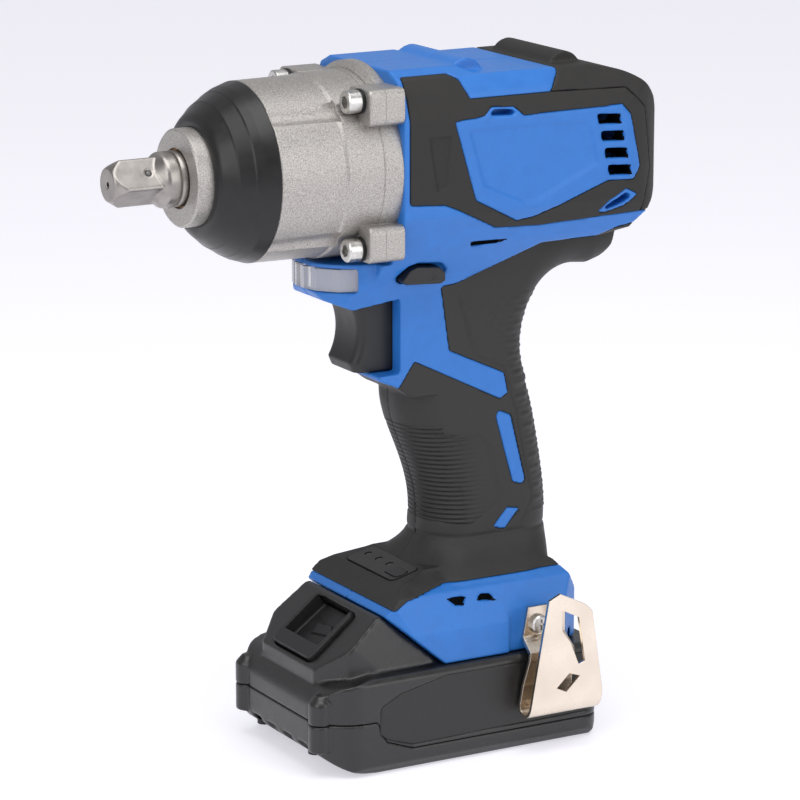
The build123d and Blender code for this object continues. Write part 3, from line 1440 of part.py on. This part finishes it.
with BuildPart() as inlays:
    add(pack_form.part)
    add(side_cut(PACK_INLAY, BATTERY_Y - 1.2, BATTERY_Y - 0.25), mode=Mode.INTERSECT)
inlays.part.label = "pack_inlays"
export_step(inlays.part, "parts/pack_inlays.step")

with BuildPart() as pack_body:
    add(pack_form.part)
    add(pack_shoulder.part)
    add(side_cut(PACK_INLAY, BATTERY_Y - 1.2, FAR), mode=Mode.SUBTRACT)
    add(pack_hollow.part, mode=Mode.SUBTRACT)
    add(button_way.part, mode=Mode.SUBTRACT)
    add(pack_screw_ways.part, mode=Mode.SUBTRACT)

with BuildPart() as pack_lower_side:
    add(prism([*PACK_SPLIT, (80, -20), (-80, -20)]))

with BuildPart() as pack_lower:
    add(pack_body.part)
    add(pack_lower_side.part, mode=Mode.INTERSECT)
    with Locations(*[(57, y, 8.6) for y in (-18, -6, 6, 18)]):
        Box(6, 8, 3.4, mode=Mode.SUBTRACT)
pack_lower.part.label = "pack_lower"
export_step(pack_lower.part, "parts/pack_lower.step")

with BuildPart() as pack_upper:
    add(pack_body.part)
    add(pack_lower_side.part, mode=Mode.SUBTRACT)
pack_upper.part.label = "pack_upper"
export_step(pack_upper.part, "parts/pack_upper.step")

with BuildPart() as cells:
    with BuildSketch(Plane.XZ.offset(-CELL_LENGTH / 2)):
        with Locations(*[(x, CELL_Z) for x in CELL_X]):
            Circle(CELL_R)
    extrude(amount=CELL_LENGTH)
cells.part.label = "cells"
export_step(cells.part, "parts/cells.step")

with BuildPart() as cell_holder:
    for side in (-1, 1):
        with BuildSketch(side_plane(side * 30)):
            with Locations((0, 16.8)):
                Rectangle(98, 18.4)
            with Locations(*[(x, CELL_Z) for x in CELL_X]):
                Circle(CELL_R + RUN, mode=Mode.SUBTRACT)
        extrude(amount=side * 8)
    with Locations((0, 0, 25.2)):
        Box(96, 58, 1.6)
cell_holder.part.label = "cell_holder"
export_step(cell_holder.part, "parts/cell_holder.step")

with BuildPart() as pack_board:
    with Locations((-4, 0, 29.4)):
        Box(84, 50, 1.6)
pack_board.part.label = "pack_board"
export_step(pack_board.part, "parts/pack_board.step")

with BuildPart() as release_springs:
    for y in (-8, 8):
        with BuildSketch(SLOPE.offset(-10.9)):
            with Locations((y, -1)):
                Circle(2.2)
                Circle(1.4, mode=Mode.SUBTRACT)
        extrude(amount=4.3)
release_springs.part.label = "release_springs"
export_step(release_springs.part, "parts/release_springs.step")
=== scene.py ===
from math import cos, pi, sin

import bmesh
import bpy
import numpy as np
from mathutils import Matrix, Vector


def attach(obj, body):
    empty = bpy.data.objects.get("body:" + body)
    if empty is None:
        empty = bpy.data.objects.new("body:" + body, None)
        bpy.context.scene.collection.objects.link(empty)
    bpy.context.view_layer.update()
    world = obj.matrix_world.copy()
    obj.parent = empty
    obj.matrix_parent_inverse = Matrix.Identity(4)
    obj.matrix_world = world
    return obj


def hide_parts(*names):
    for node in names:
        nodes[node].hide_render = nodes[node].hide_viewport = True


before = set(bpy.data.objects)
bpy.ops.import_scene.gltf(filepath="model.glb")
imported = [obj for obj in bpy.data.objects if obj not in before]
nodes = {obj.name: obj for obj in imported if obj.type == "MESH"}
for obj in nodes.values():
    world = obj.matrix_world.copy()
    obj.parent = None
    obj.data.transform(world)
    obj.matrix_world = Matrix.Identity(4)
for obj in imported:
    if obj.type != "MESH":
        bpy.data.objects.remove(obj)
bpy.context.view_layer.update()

# The CAD nodes keep their meshes and get materials. The mouldings, the trigger, the selector and the anvil
# are shown by softened copies, which ride on the same bodies.
MM = 0.001
scene = bpy.context.scene
scene.view_settings.view_transform = "Standard"

# ---------------------------------------------------------------- camera, in metres and millimetres of lens
CAMERA_PLACE = Vector((0.6732, 1.1716, 0.4588))
CAMERA_TARGET = Vector((0.006, 0.0, 0.12892))
CAMERA_LENS = 169.5
CAMERA_SENSOR = 36

camera = bpy.data.objects.new("camera", bpy.data.cameras.new("camera"))
scene.collection.objects.link(camera)
camera.location = CAMERA_PLACE
camera.rotation_euler = (CAMERA_TARGET - CAMERA_PLACE).to_track_quat("-Z", "Y").to_euler()
camera.data.lens = CAMERA_LENS
camera.data.sensor_width = CAMERA_SENSOR
scene.camera = camera


# ---------------------------------------------------------------- helpers for shader nodes
def set_inputs(shader_node, values):
    """Set the named inputs of a shader node."""
    for entry, value in values.items():
        shader_node.inputs[entry].default_value = value


def add_node(tree, kind, values=None):
    """A new shader node, with some of its inputs set."""
    made = tree.nodes.new("ShaderNode" + kind)
    set_inputs(made, values or {})
    return made


def links(tree, pairs):
    """Link (node, output) to (node, input) for each entry."""
    for source, output, target, entry in pairs:
        tree.links.new(source.outputs[output], target.inputs[entry])


def blank_material(name):
    """A node material with its tree and its principled shader."""
    material = bpy.data.materials.new(name)
    material.use_nodes = True
    return material, material.node_tree, material.node_tree.nodes["Principled BSDF"]


# ---------------------------------------------------------------- light and floor
def area_light(name, place, target, size, watts):
    """A rectangular white soft box aimed at a point."""
    data = bpy.data.lights.new(name, "AREA")
    data.shape = "RECTANGLE"
    data.size, data.size_y = size
    data.energy = watts
    lamp = bpy.data.objects.new(name, data)
    scene.collection.objects.link(lamp)
    lamp.location = place
    lamp.rotation_euler = (Vector(target) - Vector(place)).to_track_quat("-Z", "Y").to_euler()


world = bpy.data.worlds.new("studio")
scene.world = world
world.use_nodes = True
set_inputs(world.node_tree.nodes["Background"], {"Color": (0.93, 0.93, 0.97, 1), "Strength": 0.5})

area_light("overhead", (0.10, 0.25, 1.25), (0, 0, 0.15), (1.0, 1.0), 9)
area_light("front_side", (1.15, 0.55, 0.75), (0, 0, 0.15), (0.7, 1.0), 5)
area_light("left_side", (-0.55, 1.35, 0.65), (0, 0, 0.16), (0.7, 1.1), 5)

FLOOR_REACH = 9.0
FLOOR_DROP = 0.0002   # metres under the battery's underside, so that the two faces don't coincide


def pale_floor():
    """A square floor that glows a little, to stay as pale as the photograph's ground."""
    mesh = bpy.data.meshes.new("floor")
    corners = [(x * FLOOR_REACH, y * FLOOR_REACH, 0) for x, y in ((-1, -1), (1, -1), (1, 1), (-1, 1))]
    mesh.from_pydata(corners, [], [(0, 1, 2, 3)])
    floor = bpy.data.objects.new("floor", mesh)
    scene.collection.objects.link(floor)
    floor.location.z = -FLOOR_DROP
    material, tree, shader = blank_material("pale_floor")
    set_inputs(shader, {
        "Base Color": (0.62, 0.615, 0.63, 1), "Roughness": 0.5, "Specular IOR Level": 0.2,
        "Emission Color": (0.93, 0.92, 1.0, 1), "Emission Strength": 0.55,
    })
    mesh.materials.append(material)
    return floor


floor = pale_floor()


# ---------------------------------------------------------------- materials
def surface(
    name, light, dark, rough=(0.4, 0.5), metallic=0.0, mottle=220.0, grain=2600.0, grain_depth=0.02,
    coarse=0.0, coarse_scale=500.0, edge=0.3, stretch=(1, 1, 1), specular=0.5,
):
    """A moulded, cast or machined finish: two close colours, uneven gloss, fine grain and rounded edges.

    mottle, grain and coarse_scale are noise scales. grain_depth, coarse and edge are in millimetres.
    """
    material, tree, shader = blank_material(name)
    where = add_node(tree, "TexCoord")
    scaled = add_node(tree, "Mapping", {"Scale": stretch})
    cloud = add_node(tree, "TexNoise", {"Scale": mottle, "Detail": 6})
    fine = add_node(tree, "TexNoise", {"Scale": grain, "Detail": 3})
    colour = add_node(tree, "ValToRGB")
    for stop, position, tint in zip(colour.color_ramp.elements, (0.32, 0.68), (dark, light)):
        stop.position = position
        stop.color = (*tint, 1)
    gloss = add_node(tree, "MapRange", {
        "From Min": 0.3, "From Max": 0.7, "To Min": rough[0], "To Max": rough[1],
    })
    set_inputs(shader, {"Metallic": metallic, "Specular IOR Level": specular})
    round_edge = add_node(tree, "Bevel", {"Radius": edge * MM})
    round_edge.samples = 4
    bump = add_node(tree, "Bump", {"Strength": 1.0, "Distance": grain_depth * MM})
    links(tree, [
        (where, "Object", scaled, "Vector"), (scaled, "Vector", cloud, "Vector"),
        (scaled, "Vector", fine, "Vector"),
        (cloud, "Fac", colour, "Fac"), (colour, "Color", shader, "Base Color"),
        (cloud, "Fac", gloss, "Value"), (gloss, "Result", shader, "Roughness"),
        (fine, "Fac", bump, "Height"), (round_edge, "Normal", bump, "Normal"),
    ])
    last = bump
    if coarse:
        lumps = add_node(tree, "TexNoise", {"Scale": coarse_scale, "Detail": 2})
        last = add_node(tree, "Bump", {"Distance": coarse * MM})
        links(tree, [
            (scaled, "Vector", lumps, "Vector"), (lumps, "Fac", last, "Height"),
            (bump, "Normal", last, "Normal"),
        ])
    links(tree, [(last, "Normal", shader, "Normal")])
    return material


# Mouldings and rubber of the housing and the battery.
BLUE = surface(
    "blue_moulding", (0.019, 0.165, 0.54), (0.016, 0.148, 0.50), rough=(0.36, 0.46),
    grain_depth=0.05, grain=3200, edge=0.5,
)
RUBBER = surface(
    "dark_overmould", (0.023, 0.0215, 0.0195), (0.016, 0.0152, 0.014), rough=(0.58, 0.72),
    grain_depth=0.06, grain=2600, edge=0.5, specular=0.4,
)
GRIP = surface(
    "grip_rubber", (0.023, 0.0215, 0.0195), (0.016, 0.0152, 0.014), rough=(0.50, 0.64),
    grain_depth=0.06, grain=2600, edge=0.5, specular=0.45,
)
CHARCOAL = surface(
    "charcoal_moulding", (0.013, 0.013, 0.0135), (0.009, 0.009, 0.0095), rough=(0.42, 0.52),
    grain_depth=0.03, edge=0.4,
)
PACK = surface(
    "pack_moulding", (0.0125, 0.0122, 0.012), (0.0085, 0.0083, 0.0083), rough=(0.25, 0.36),
    grain_depth=0.035, grain=2200, edge=0.6, specular=0.6,
)
INLAY = surface(
    "pack_inlay", (0.014, 0.0132, 0.0126), (0.010, 0.0095, 0.009), rough=(0.36, 0.46),
    grain_depth=0.05, grain=2200, edge=0.4,
)
BOOT = surface(
    "nose_rubber", (0.0115, 0.0115, 0.0115), (0.008, 0.008, 0.008), rough=(0.28, 0.38),
    grain_depth=0.02, edge=0.5, specular=0.4,
)
FRAME = surface("frame_moulding", (0.10, 0.10, 0.10), (0.07, 0.07, 0.07), rough=(0.45, 0.55))
# Painted shade: a near-black colour laid on the housing's slots and vents, whose darkness is only shade.
PAINTED_SLOT_SHADE = surface(
    "painted_slot_shade", (0.004, 0.004, 0.005), (0.003, 0.003, 0.004), rough=(0.7, 0.8), specular=0.1, edge=0.1,
)
PANEL = surface("panel_film", (0.020, 0.0188, 0.0172), (0.014, 0.0134, 0.0125), rough=(0.42, 0.52), edge=0.3)
DOTS = surface("dark_window", (0.004, 0.004, 0.004), (0.0025, 0.0025, 0.0025), rough=(0.12, 0.2), edge=0.1)

# Metals.
CAST = surface(
    "cast_alloy", (0.56, 0.535, 0.505), (0.27, 0.255, 0.24), rough=(0.36, 0.52), metallic=0.8,
    mottle=2300, grain=1900, grain_depth=0.09, coarse=0.03, coarse_scale=700, edge=0.5,
)
STEEL = surface(
    "drive_steel", (0.40, 0.375, 0.35), (0.27, 0.25, 0.235), rough=(0.26, 0.40), metallic=1.0,
    mottle=160, grain=1500, grain_depth=0.03, edge=0.4,
)
DARK_STEEL = surface(
    "hardened_steel", (0.20, 0.195, 0.19), (0.12, 0.12, 0.12), rough=(0.3, 0.45), metallic=1.0, edge=0.3,
)
ZINC = surface(
    "zinc_plate", (0.66, 0.65, 0.62), (0.52, 0.51, 0.49), rough=(0.22, 0.36), metallic=1.0,
    mottle=500, grain_depth=0.01, edge=0.35,
)
BLACK_OXIDE = surface(
    "black_oxide", (0.035, 0.035, 0.036), (0.02, 0.02, 0.02), rough=(0.32, 0.46), metallic=0.7, edge=0.25,
)
SPRING = surface(
    "spring_wire", (0.38, 0.38, 0.40), (0.26, 0.26, 0.27), rough=(0.25, 0.35), metallic=1.0, edge=0.1,
)
BRONZE = surface("sintered_bronze", (0.60, 0.40, 0.20), (0.45, 0.29, 0.14), rough=(0.35, 0.5), metallic=1.0)
NICKEL = surface(
    "nickel_sheet", (0.80, 0.71, 0.60), (0.70, 0.61, 0.51), rough=(0.20, 0.30), metallic=1.0,
    mottle=60, grain=900, grain_depth=0.008, edge=0.35,
)
BRASS = surface("bright_brass", (0.80, 0.62, 0.30), (0.66, 0.49, 0.22), rough=(0.22, 0.32), metallic=1.0)

# Electrical pieces.
LAMINATION = surface(
    "lamination_stack", (0.42, 0.42, 0.44), (0.30, 0.30, 0.31), rough=(0.35, 0.5), metallic=0.9,
    stretch=(30, 1, 1), mottle=300,
)
MAGNET = surface("nickel_magnet", (0.62, 0.62, 0.64), (0.5, 0.5, 0.52), rough=(0.2, 0.3), metallic=1.0)
COPPER = surface(
    "enamelled_wire", (0.74, 0.36, 0.18), (0.5, 0.22, 0.10), rough=(0.25, 0.4), metallic=0.9,
    stretch=(1, 6, 6), mottle=900,
)
BOARD = surface("solder_mask", (0.02, 0.17, 0.08), (0.015, 0.12, 0.055), rough=(0.25, 0.35), mottle=900)
LED_BOARD = surface("white_mask", (0.80, 0.78, 0.66), (0.70, 0.68, 0.58), rough=(0.35, 0.45))
CELL = surface("cell_wrap", (0.06, 0.30, 0.42), (0.05, 0.24, 0.36), rough=(0.3, 0.4))

RIB_SCALE = 178      # wave scale: one rib each 1.76 mm
RIB_DEPTH = 0.55     # mm


def add_ribs(material):
    """Fine level ribs over the material's grain, as strong as the mesh attribute "ribs" says."""
    tree = material.node_tree
    shader = tree.nodes["Principled BSDF"]
    plain = shader.inputs["Normal"].links[0].from_node
    place = add_node(tree, "TexCoord")
    wave = add_node(tree, "TexWave", {"Scale": RIB_SCALE, "Distortion": 0.4})
    wave.bands_direction = "Z"
    mask = add_node(tree, "Attribute")
    mask.attribute_name = "ribs"
    height = add_node(tree, "Math")
    height.operation = "MULTIPLY"
    bump = add_node(tree, "Bump", {"Distance": RIB_DEPTH * MM})
    links(tree, [
        (place, "Object", wave, "Vector"), (wave, "Fac", height, 0), (mask, "Fac", height, 1),
        (height, "Value", bump, "Height"), (plain, "Normal", bump, "Normal"),
        (bump, "Normal", shader, "Normal"),
    ])


add_ribs(GRIP)

FACET_SCALE = 118    # wave scale of the lens's upright facets
FACET_DEPTH = 1.3    # mm
LENS_EDGE = 0.6      # mm


def faceted_lens():
    """Clear plastic with upright facets, a little uneven in its gloss."""
    material, tree, shader = blank_material("clear_lens")
    set_inputs(shader, {"Base Color": (0.90, 0.90, 0.91, 1), "Transmission Weight": 0.72, "IOR": 1.45})
    cloud = add_node(tree, "TexNoise", {"Scale": 260})
    gloss = add_node(tree, "MapRange", {"To Min": 0.02, "To Max": 0.07})
    round_edge = add_node(tree, "Bevel", {"Radius": LENS_EDGE * MM})
    place = add_node(tree, "TexCoord")
    level = add_node(tree, "Mapping", {"Scale": (1, 1, 0)})
    facets = add_node(tree, "TexWave", {"Scale": FACET_SCALE})
    facets.bands_direction = "DIAGONAL"
    facets.wave_profile = "TRI"
    bump = add_node(tree, "Bump", {"Distance": FACET_DEPTH * MM})
    links(tree, [
        (cloud, "Fac", gloss, "Value"), (gloss, "Result", shader, "Roughness"),
        (place, "Object", level, "Vector"), (level, "Vector", facets, "Vector"),
        (facets, "Fac", bump, "Height"), (round_edge, "Normal", bump, "Normal"),
        (bump, "Normal", shader, "Normal"),
    ])
    return material


LENS = faceted_lens()

FINISH = {
    # nose, hammer and gears
    "anvil": STEEL, "detent_pin": DARK_STEEL, "detent_spring": SPRING, "anvil_bushing": BRONZE,
    "hammer_case": CAST, "nose_boot": BOOT, "hammer": DARK_STEEL, "hammer_spring": SPRING,
    "spring_washer": DARK_STEEL, "carrier": DARK_STEEL, "carrier_bearing": STEEL, "cam_balls": MAGNET,
    "planet_gear_1": DARK_STEEL, "planet_gear_2": DARK_STEEL, "planet_gear_3": DARK_STEEL,
    "planet_pins": STEEL, "ring_gear": DARK_STEEL, "gear_case": CAST, "case_screws": ZINC,
    "case_washers": BLACK_OXIDE,
    # motor
    "rotor_shaft": STEEL, "rotor_core": LAMINATION, "rotor_magnets": MAGNET, "cooling_fan": FRAME,
    "stator_core": LAMINATION, "stator_windings": COPPER, "sensor_board": BOARD, "shaft_bearings": STEEL,
    # housing
    "left_housing": BLUE, "right_housing": BLUE, "rear_cover": RUBBER, "left_barrel_overmould": RUBBER,
    "right_barrel_overmould": RUBBER, "left_grip_overmould": RUBBER, "right_grip_overmould": RUBBER,
    "housing_screws": BLACK_OXIDE, "cover_screws": BLACK_OXIDE, "lens": LENS, "light_board": LED_BOARD,
    "trigger": CHARCOAL, "trigger_spring": SPRING, "switch_module": FRAME, "direction_selector": CHARCOAL,
    "control_panel": PANEL, "indicator_lights": DOTS, "mode_button": CHARCOAL, "control_board": BOARD,
    "terminal_block": FRAME, "terminal_blades": BRASS, "belt_hook": NICKEL, "hook_screw": ZINC,
    # battery pack
    "pack_upper": PACK, "pack_lower": PACK, "pack_inlays": INLAY, "release_button": CHARCOAL,
    "release_springs": SPRING, "cells": CELL, "cell_holder": FRAME, "pack_board": BOARD,
    "pack_screws": BLACK_OXIDE,
}
for name, finish in FINISH.items():
    mesh = nodes[name].data
    mesh.materials.clear()
    mesh.materials.append(finish)


# ---------------------------------------------------------------- what fills the inside of a housing half
# Sizes and places from here on are in millimetres.
AXIS_Z = 220.0             # the tool axis
MOTOR_CORE_X = (-60, -4)
MOTOR_CORE_R = 30
HANDLE_CORE_HALF_W = 12.4
HANDLE_CORE = [
    (-33, 192), (-33, 160), (-36.5, 140), (-41.5, 122), (-44, 104), (-44, 86), (-12, 86), (-8, 104),
    (-3, 122), (0.2, 136), (0.2, 192),
]
SCREW_WAY_X = (-5, 22.9)
SCREW_WAY_R = 2.7
SCREW_Y = 27               # the case screws, off the tool axis
SCREW_Z = 26.5


def bar(low_rim, high_rim):
    """Vertices, in metres, and faces of a closed bar between two rims that match corner for corner."""
    count = len(low_rim)
    points = [(x * MM, y * MM, z * MM) for x, y, z in low_rim + high_rim]
    faces = [tuple(range(count)), tuple(range(2 * count - 1, count - 1, -1))]
    for k in range(count):
        j = (k + 1) % count
        faces.append((k, j, j + count, k + count))
    return points, faces


def slab(outline, y_low, y_high):
    """A side outline carried across from one y to another."""
    return bar([(x, y_low, z) for x, z in outline], [(x, y_high, z) for x, z in outline])


def bar_along_x(rim, x_low, x_high):
    """A (y, z) rim carried along the tool axis from one x to another."""
    return bar([(x_low, y, z) for y, z in rim], [(x_high, y, z) for y, z in rim])


def half_rod(x_low, x_high, radius, side, steps=28):
    """A half cylinder round the tool axis, on one side of the centre plane."""
    rim = []
    for k in range(steps + 1):
        turn = pi * k / steps
        rim.append((side * radius * sin(turn), AXIS_Z + radius * cos(turn)))
    return bar_along_x(rim, x_low, x_high)


def rod(x_low, x_high, radius, centre_y, centre_z, steps=20):
    """A round bar that lies along the tool axis."""
    rim = []
    for k in range(steps):
        turn = 2 * pi * k / steps
        rim.append((centre_y + radius * cos(turn), centre_z + radius * sin(turn)))
    return bar_along_x(rim, x_low, x_high)


def core(side):
    """Bodies that close the motor space, the handle and the case screws' ways of one housing half."""
    low_y, high_y = sorted((0.0, side * HANDLE_CORE_HALF_W))
    bodies = [half_rod(*MOTOR_CORE_X, MOTOR_CORE_R, side), slab(HANDLE_CORE, low_y, high_y)]
    for z in (AXIS_Z - SCREW_Z, AXIS_Z + SCREW_Z):
        bodies.append(rod(*SCREW_WAY_X, SCREW_WAY_R, side * SCREW_Y, z))
    return bodies


# ---------------------------------------------------------------- softened copies of the CAD nodes
TRIANGLE_LIMIT = 192000    # of one piece


def baked(piece):
    """A new mesh with the piece's modifiers applied."""
    return bpy.data.meshes.new_from_object(piece.evaluated_get(bpy.context.evaluated_depsgraph_get()))


def read_points(items, entry):
    """One vector of each mesh item, as the rows of an array."""
    flat = np.empty(len(items) * 3)
    items.foreach_get(entry, flat)
    return flat.reshape(-1, 3)


def reshape(mesh, shape):
    """Move the vertices by a function, and keep its second result as the attribute "ribs"."""
    moved, ribbed = shape(read_points(mesh.vertices, "co") / MM, read_points(mesh.vertices, "normal"))
    mesh.vertices.foreach_set("co", (moved * MM).ravel())
    mesh.attributes.new("ribs", "FLOAT", "POINT").data.foreach_set("value", ribbed)
    mesh.update()


def softened(name, sources, body, finish, voxel, rounds, fill=(), shape=None):
    """A closed copy of some nodes with rounded edges: remeshed, relaxed, shaped by an optional function.

    voxel is the size of the remesh, and rounds is how often it is relaxed. fill is added before the remesh.
    """
    build = bmesh.new()
    for source in sources:
        build.from_mesh(nodes[source].data)
    for points, faces in fill:
        corner = [build.verts.new(p) for p in points]
        for face in faces:
            build.faces.new([corner[k] for k in face])
    bmesh.ops.recalc_face_normals(build, faces=build.faces[:])
    mesh = bpy.data.meshes.new(name)
    build.to_mesh(mesh)
    build.free()
    piece = bpy.data.objects.new(name, mesh)
    scene.collection.objects.link(piece)
    remesh = piece.modifiers.new("remesh", "REMESH")
    remesh.mode = "VOXEL"
    remesh.voxel_size = voxel * MM
    relax = piece.modifiers.new("relax", "SMOOTH")
    relax.factor = 0.5
    relax.iterations = rounds
    finished = baked(piece)
    triangles = sum(len(face.vertices) - 2 for face in finished.polygons)
    if triangles > TRIANGLE_LIMIT:
        thinned = piece.modifiers.new("thin", "DECIMATE")
        thinned.ratio = TRIANGLE_LIMIT / triangles
        finished = baked(piece)
    piece.modifiers.clear()
    piece.data = finished
    finished.name = name
    if shape:
        reshape(finished, shape)
    finished.polygons.foreach_set("use_smooth", [True] * len(finished.polygons))
    finished.materials.clear()
    finished.materials.append(finish)
    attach(piece, body)
    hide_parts(*sources)
    return piece


# ---------------------------------------------------------------- measures on the side view
TINY = 1e-12               # keeps a level edge from dividing by zero


def inside(points, outline):
    """True for each point inside a side outline."""
    x, z = points[:, 0], points[:, 2]
    result = np.zeros(len(points), bool)
    last = outline[-1]
    for corner in outline:
        (x0, z0), (x1, z1) = last, corner
        crossing = ((z0 > z) != (z1 > z)) & (x < (x1 - x0) * (z - z0) / (z1 - z0 + TINY) + x0)
        result ^= crossing
        last = corner
    return result


def line_distance(points, outline):
    """Distance of each point to a chain of straight pieces."""
    spot = points[:, [0, 2]]
    nearest = np.full(len(points), np.inf)
    for start, end in zip(outline[:-1], outline[1:]):
        start = np.array(start, float)
        along = np.array(end, float) - start
        share = np.clip(((spot - start) @ along) / (along @ along), 0, 1)
        nearest = np.minimum(nearest, np.linalg.norm(spot - (start + share[:, None] * along), axis=1))
    return nearest


def behind(points, outline):
    """True for each point that lies behind a chain that runs from top to bottom."""
    heights = [z for x, z in reversed(outline)]
    fronts = [x for x, z in reversed(outline)]
    return points[:, 0] < np.interp(points[:, 2], heights, fronts)


def between(values, low, high):
    """True for each value between two others."""
    return (values > low) & (values < high)


def ramp(values, start, length):
    """0 up to the start, then rising to 1 over the length."""
    return np.clip((values - start) / length, 0, 1)


def ridge(values, width):
    """1 at zero, falling off smoothly on both sides."""
    return np.exp(-(values / width) ** 2)


# ---------------------------------------------------------------- surface of the grip
RIB_PANEL = [
    (14.7, 120.6), (-17, 116.6), (-21, 113.6), (-27, 93), (-25.6, 89), (-13.5, 82), (-3, 84), (4.5, 86.8),
    (8, 104),
]
BACK_GROOVE = [
    (-9.2, 169.4), (-13.0, 156.7), (-15.6, 147.7), (-28.1, 141.0), (-33.8, 124.4), (-41.1, 89.7),
    (-36.0, 80.7),
]
SIDE_NORMAL = 0.2                    # a face looks sideways from here on
SIDE_BLEND = 0.3
PANEL_SINK = 0.15
PANEL_STEP = 0.7
BORDER_INSET = 0.2
BORDER_DEPTH = 0.35
BORDER_WIDTH = 0.5
GROOVE_DEPTH = 0.5
GROOVE_WIDTH = 0.5
BASE_GROOVE_Z = 78.0
BASE_GROOVE_DEPTH = 0.45
BASE_GROOVE_WIDTH = 0.8
BASE_HALF_W = 24
BACK_NORMAL = 0.3                    # faces that look less far forward can have studs
FRONT_NORMAL = 0.25                  # faces that look further forward can have ribs
TEXTURE_LOW_Z = 84
STUD_TOP_Z = 168
STUD_PITCH = 2.7
STUD_ROW_STEP = 0.866 * STUD_PITCH   # the rows of a triangular grid
STUD_RADIUS = 1.3
STUD_HEIGHT = 0.4
STUD_WRAP = 0.5                      # how far the rows lean on the grip's sides
FRONT_RIB_TOP_Z = 122
RIB_FADE_X = -22
RIB_FADE_LENGTH = 16


def stud_height(place):
    """Height of small studs in staggered rows, wrapped round the back of the grip."""
    around = place[:, 1] - STUD_WRAP * np.sign(place[:, 1]) * place[:, 0]
    row = np.round(place[:, 2] / STUD_ROW_STEP)
    shift = np.where(row % 2 == 0, 0.0, STUD_PITCH / 2)
    column = np.round((around - shift) / STUD_PITCH) * STUD_PITCH + shift
    radius = np.hypot(around - column, place[:, 2] - row * STUD_ROW_STEP)
    return STUD_HEIGHT * np.clip(1 - radius / STUD_RADIUS, 0, 1)


def grip_shape(place, normal):
    """Sunk side panel, studs behind a groove, a groove round the base, and where the fine ribs go."""
    x, y, z = place.T
    to_border = line_distance(place, RIB_PANEL + RIB_PANEL[:1])
    depth = np.where(inside(place, RIB_PANEL), to_border, -to_border)
    side = ramp(np.sign(y) * normal[:, 1], SIDE_NORMAL, SIDE_BLEND)
    panel = ramp(depth, 0, PANEL_STEP)
    border = ridge(depth - BORDER_INSET, BORDER_WIDTH)
    groove = ridge(line_distance(place, BACK_GROOVE), GROOVE_WIDTH)
    base = ridge(z - BASE_GROOVE_Z, BASE_GROOVE_WIDTH) * (np.abs(y) < BASE_HALF_W)
    rear = behind(place, BACK_GROOVE) & between(z, TEXTURE_LOW_Z, STUD_TOP_Z) & (normal[:, 0] < BACK_NORMAL)
    rise = stud_height(place) * rear
    rise -= side * (PANEL_SINK * panel + BORDER_DEPTH * border + GROOVE_DEPTH * groove)
    rise -= BASE_GROOVE_DEPTH * base
    front = (normal[:, 0] > FRONT_NORMAL) & between(z, TEXTURE_LOW_Z, FRONT_RIB_TOP_Z)
    ribbed = np.maximum(side * panel * ramp(x, RIB_FADE_X, RIB_FADE_LENGTH), front)
    return place + normal * rise[:, None], ribbed


# ---------------------------------------------------------------- painted shade in the slots and vents of the housing's sides
SLOTS = [
    [(-6.6, 192.1), (-22.6, 191.7), (-18.4, 190.4), (-7.6, 190.3)],   # over the handle
    [(4.2, 60.4), (-4.2, 60.1), (-2.7, 57.0), (0.5, 57.4)],           # in the foot
    [(-8.0, 58.0), (-10.6, 60.2), (-14.3, 59.6), (-16.5, 57.0)],      # in the foot
]
VENT_COUNT = 4
VENT_START = (-56.8, 235.2)
VENT_STEP = (-1.6, -6.4)
VENT_CORNERS = [(0, 0), (-9.8, -0.6), (-10.5, -4.3), (-0.7, -3.7)]
for row in range(VENT_COUNT):
    front_x = VENT_START[0] + row * VENT_STEP[0]
    top_z = VENT_START[1] + row * VENT_STEP[1]
    SLOTS.append([(front_x + x, top_z + z) for x, z in VENT_CORNERS])


def shade_slots(shell):
    """Paint shade on the faces of a housing half that lie in its slots and vents, with the near-black slot
    material.
    """
    shell.data.materials.append(PAINTED_SLOT_SHADE)
    centres = read_points(shell.data.polygons, "center") / MM
    shaded = np.zeros(len(centres), bool)
    for outline in SLOTS:
        shaded |= inside(centres, outline)
    shell.data.polygons.foreach_set("material_index", shaded.astype(np.int32))


# ---------------------------------------------------------------- the visible shells
SHELL_VOXEL = 0.62
SKIN_VOXEL = 0.5
BUTTON_VOXEL = 0.4
TRIGGER_VOXEL = 0.45
DRIVE_VOXEL = 0.34

for hand, side in (("left", 1), ("right", -1)):
    shell = softened(
        f"{hand}_shell", [f"{hand}_housing"], "housing", BLUE, SHELL_VOXEL, rounds=2, fill=core(side)
    )
    shade_slots(shell)
softened("rear_cap", ["rear_cover"], "housing", RUBBER, SHELL_VOXEL, rounds=5)
for hand in ("left", "right"):
    softened(f"{hand}_barrel_skin", [f"{hand}_barrel_overmould"], "housing", RUBBER, SKIN_VOXEL, rounds=3)
    softened(
        f"{hand}_grip_skin", [f"{hand}_grip_overmould"], "housing", GRIP, SKIN_VOXEL, rounds=3,
        shape=grip_shape,
    )
softened("upper_case", ["pack_upper"], "battery", PACK, SHELL_VOXEL, rounds=5)
softened("lower_case", ["pack_lower"], "battery", PACK, SHELL_VOXEL, rounds=5)
softened("side_inlays", ["pack_inlays"], "battery", INLAY, SKIN_VOXEL, rounds=3)
softened("latch_button", ["release_button"], "release_button", CHARCOAL, BUTTON_VOXEL, rounds=4)
softened("trigger_cap", ["trigger"], "trigger", CHARCOAL, TRIGGER_VOXEL, rounds=5)
softened("drive_end", ["anvil"], "anvil", STEEL, DRIVE_VOXEL, rounds=2)
softened("selector_bar", ["direction_selector"], "selector", CHARCOAL, BUTTON_VOXEL, rounds=2)
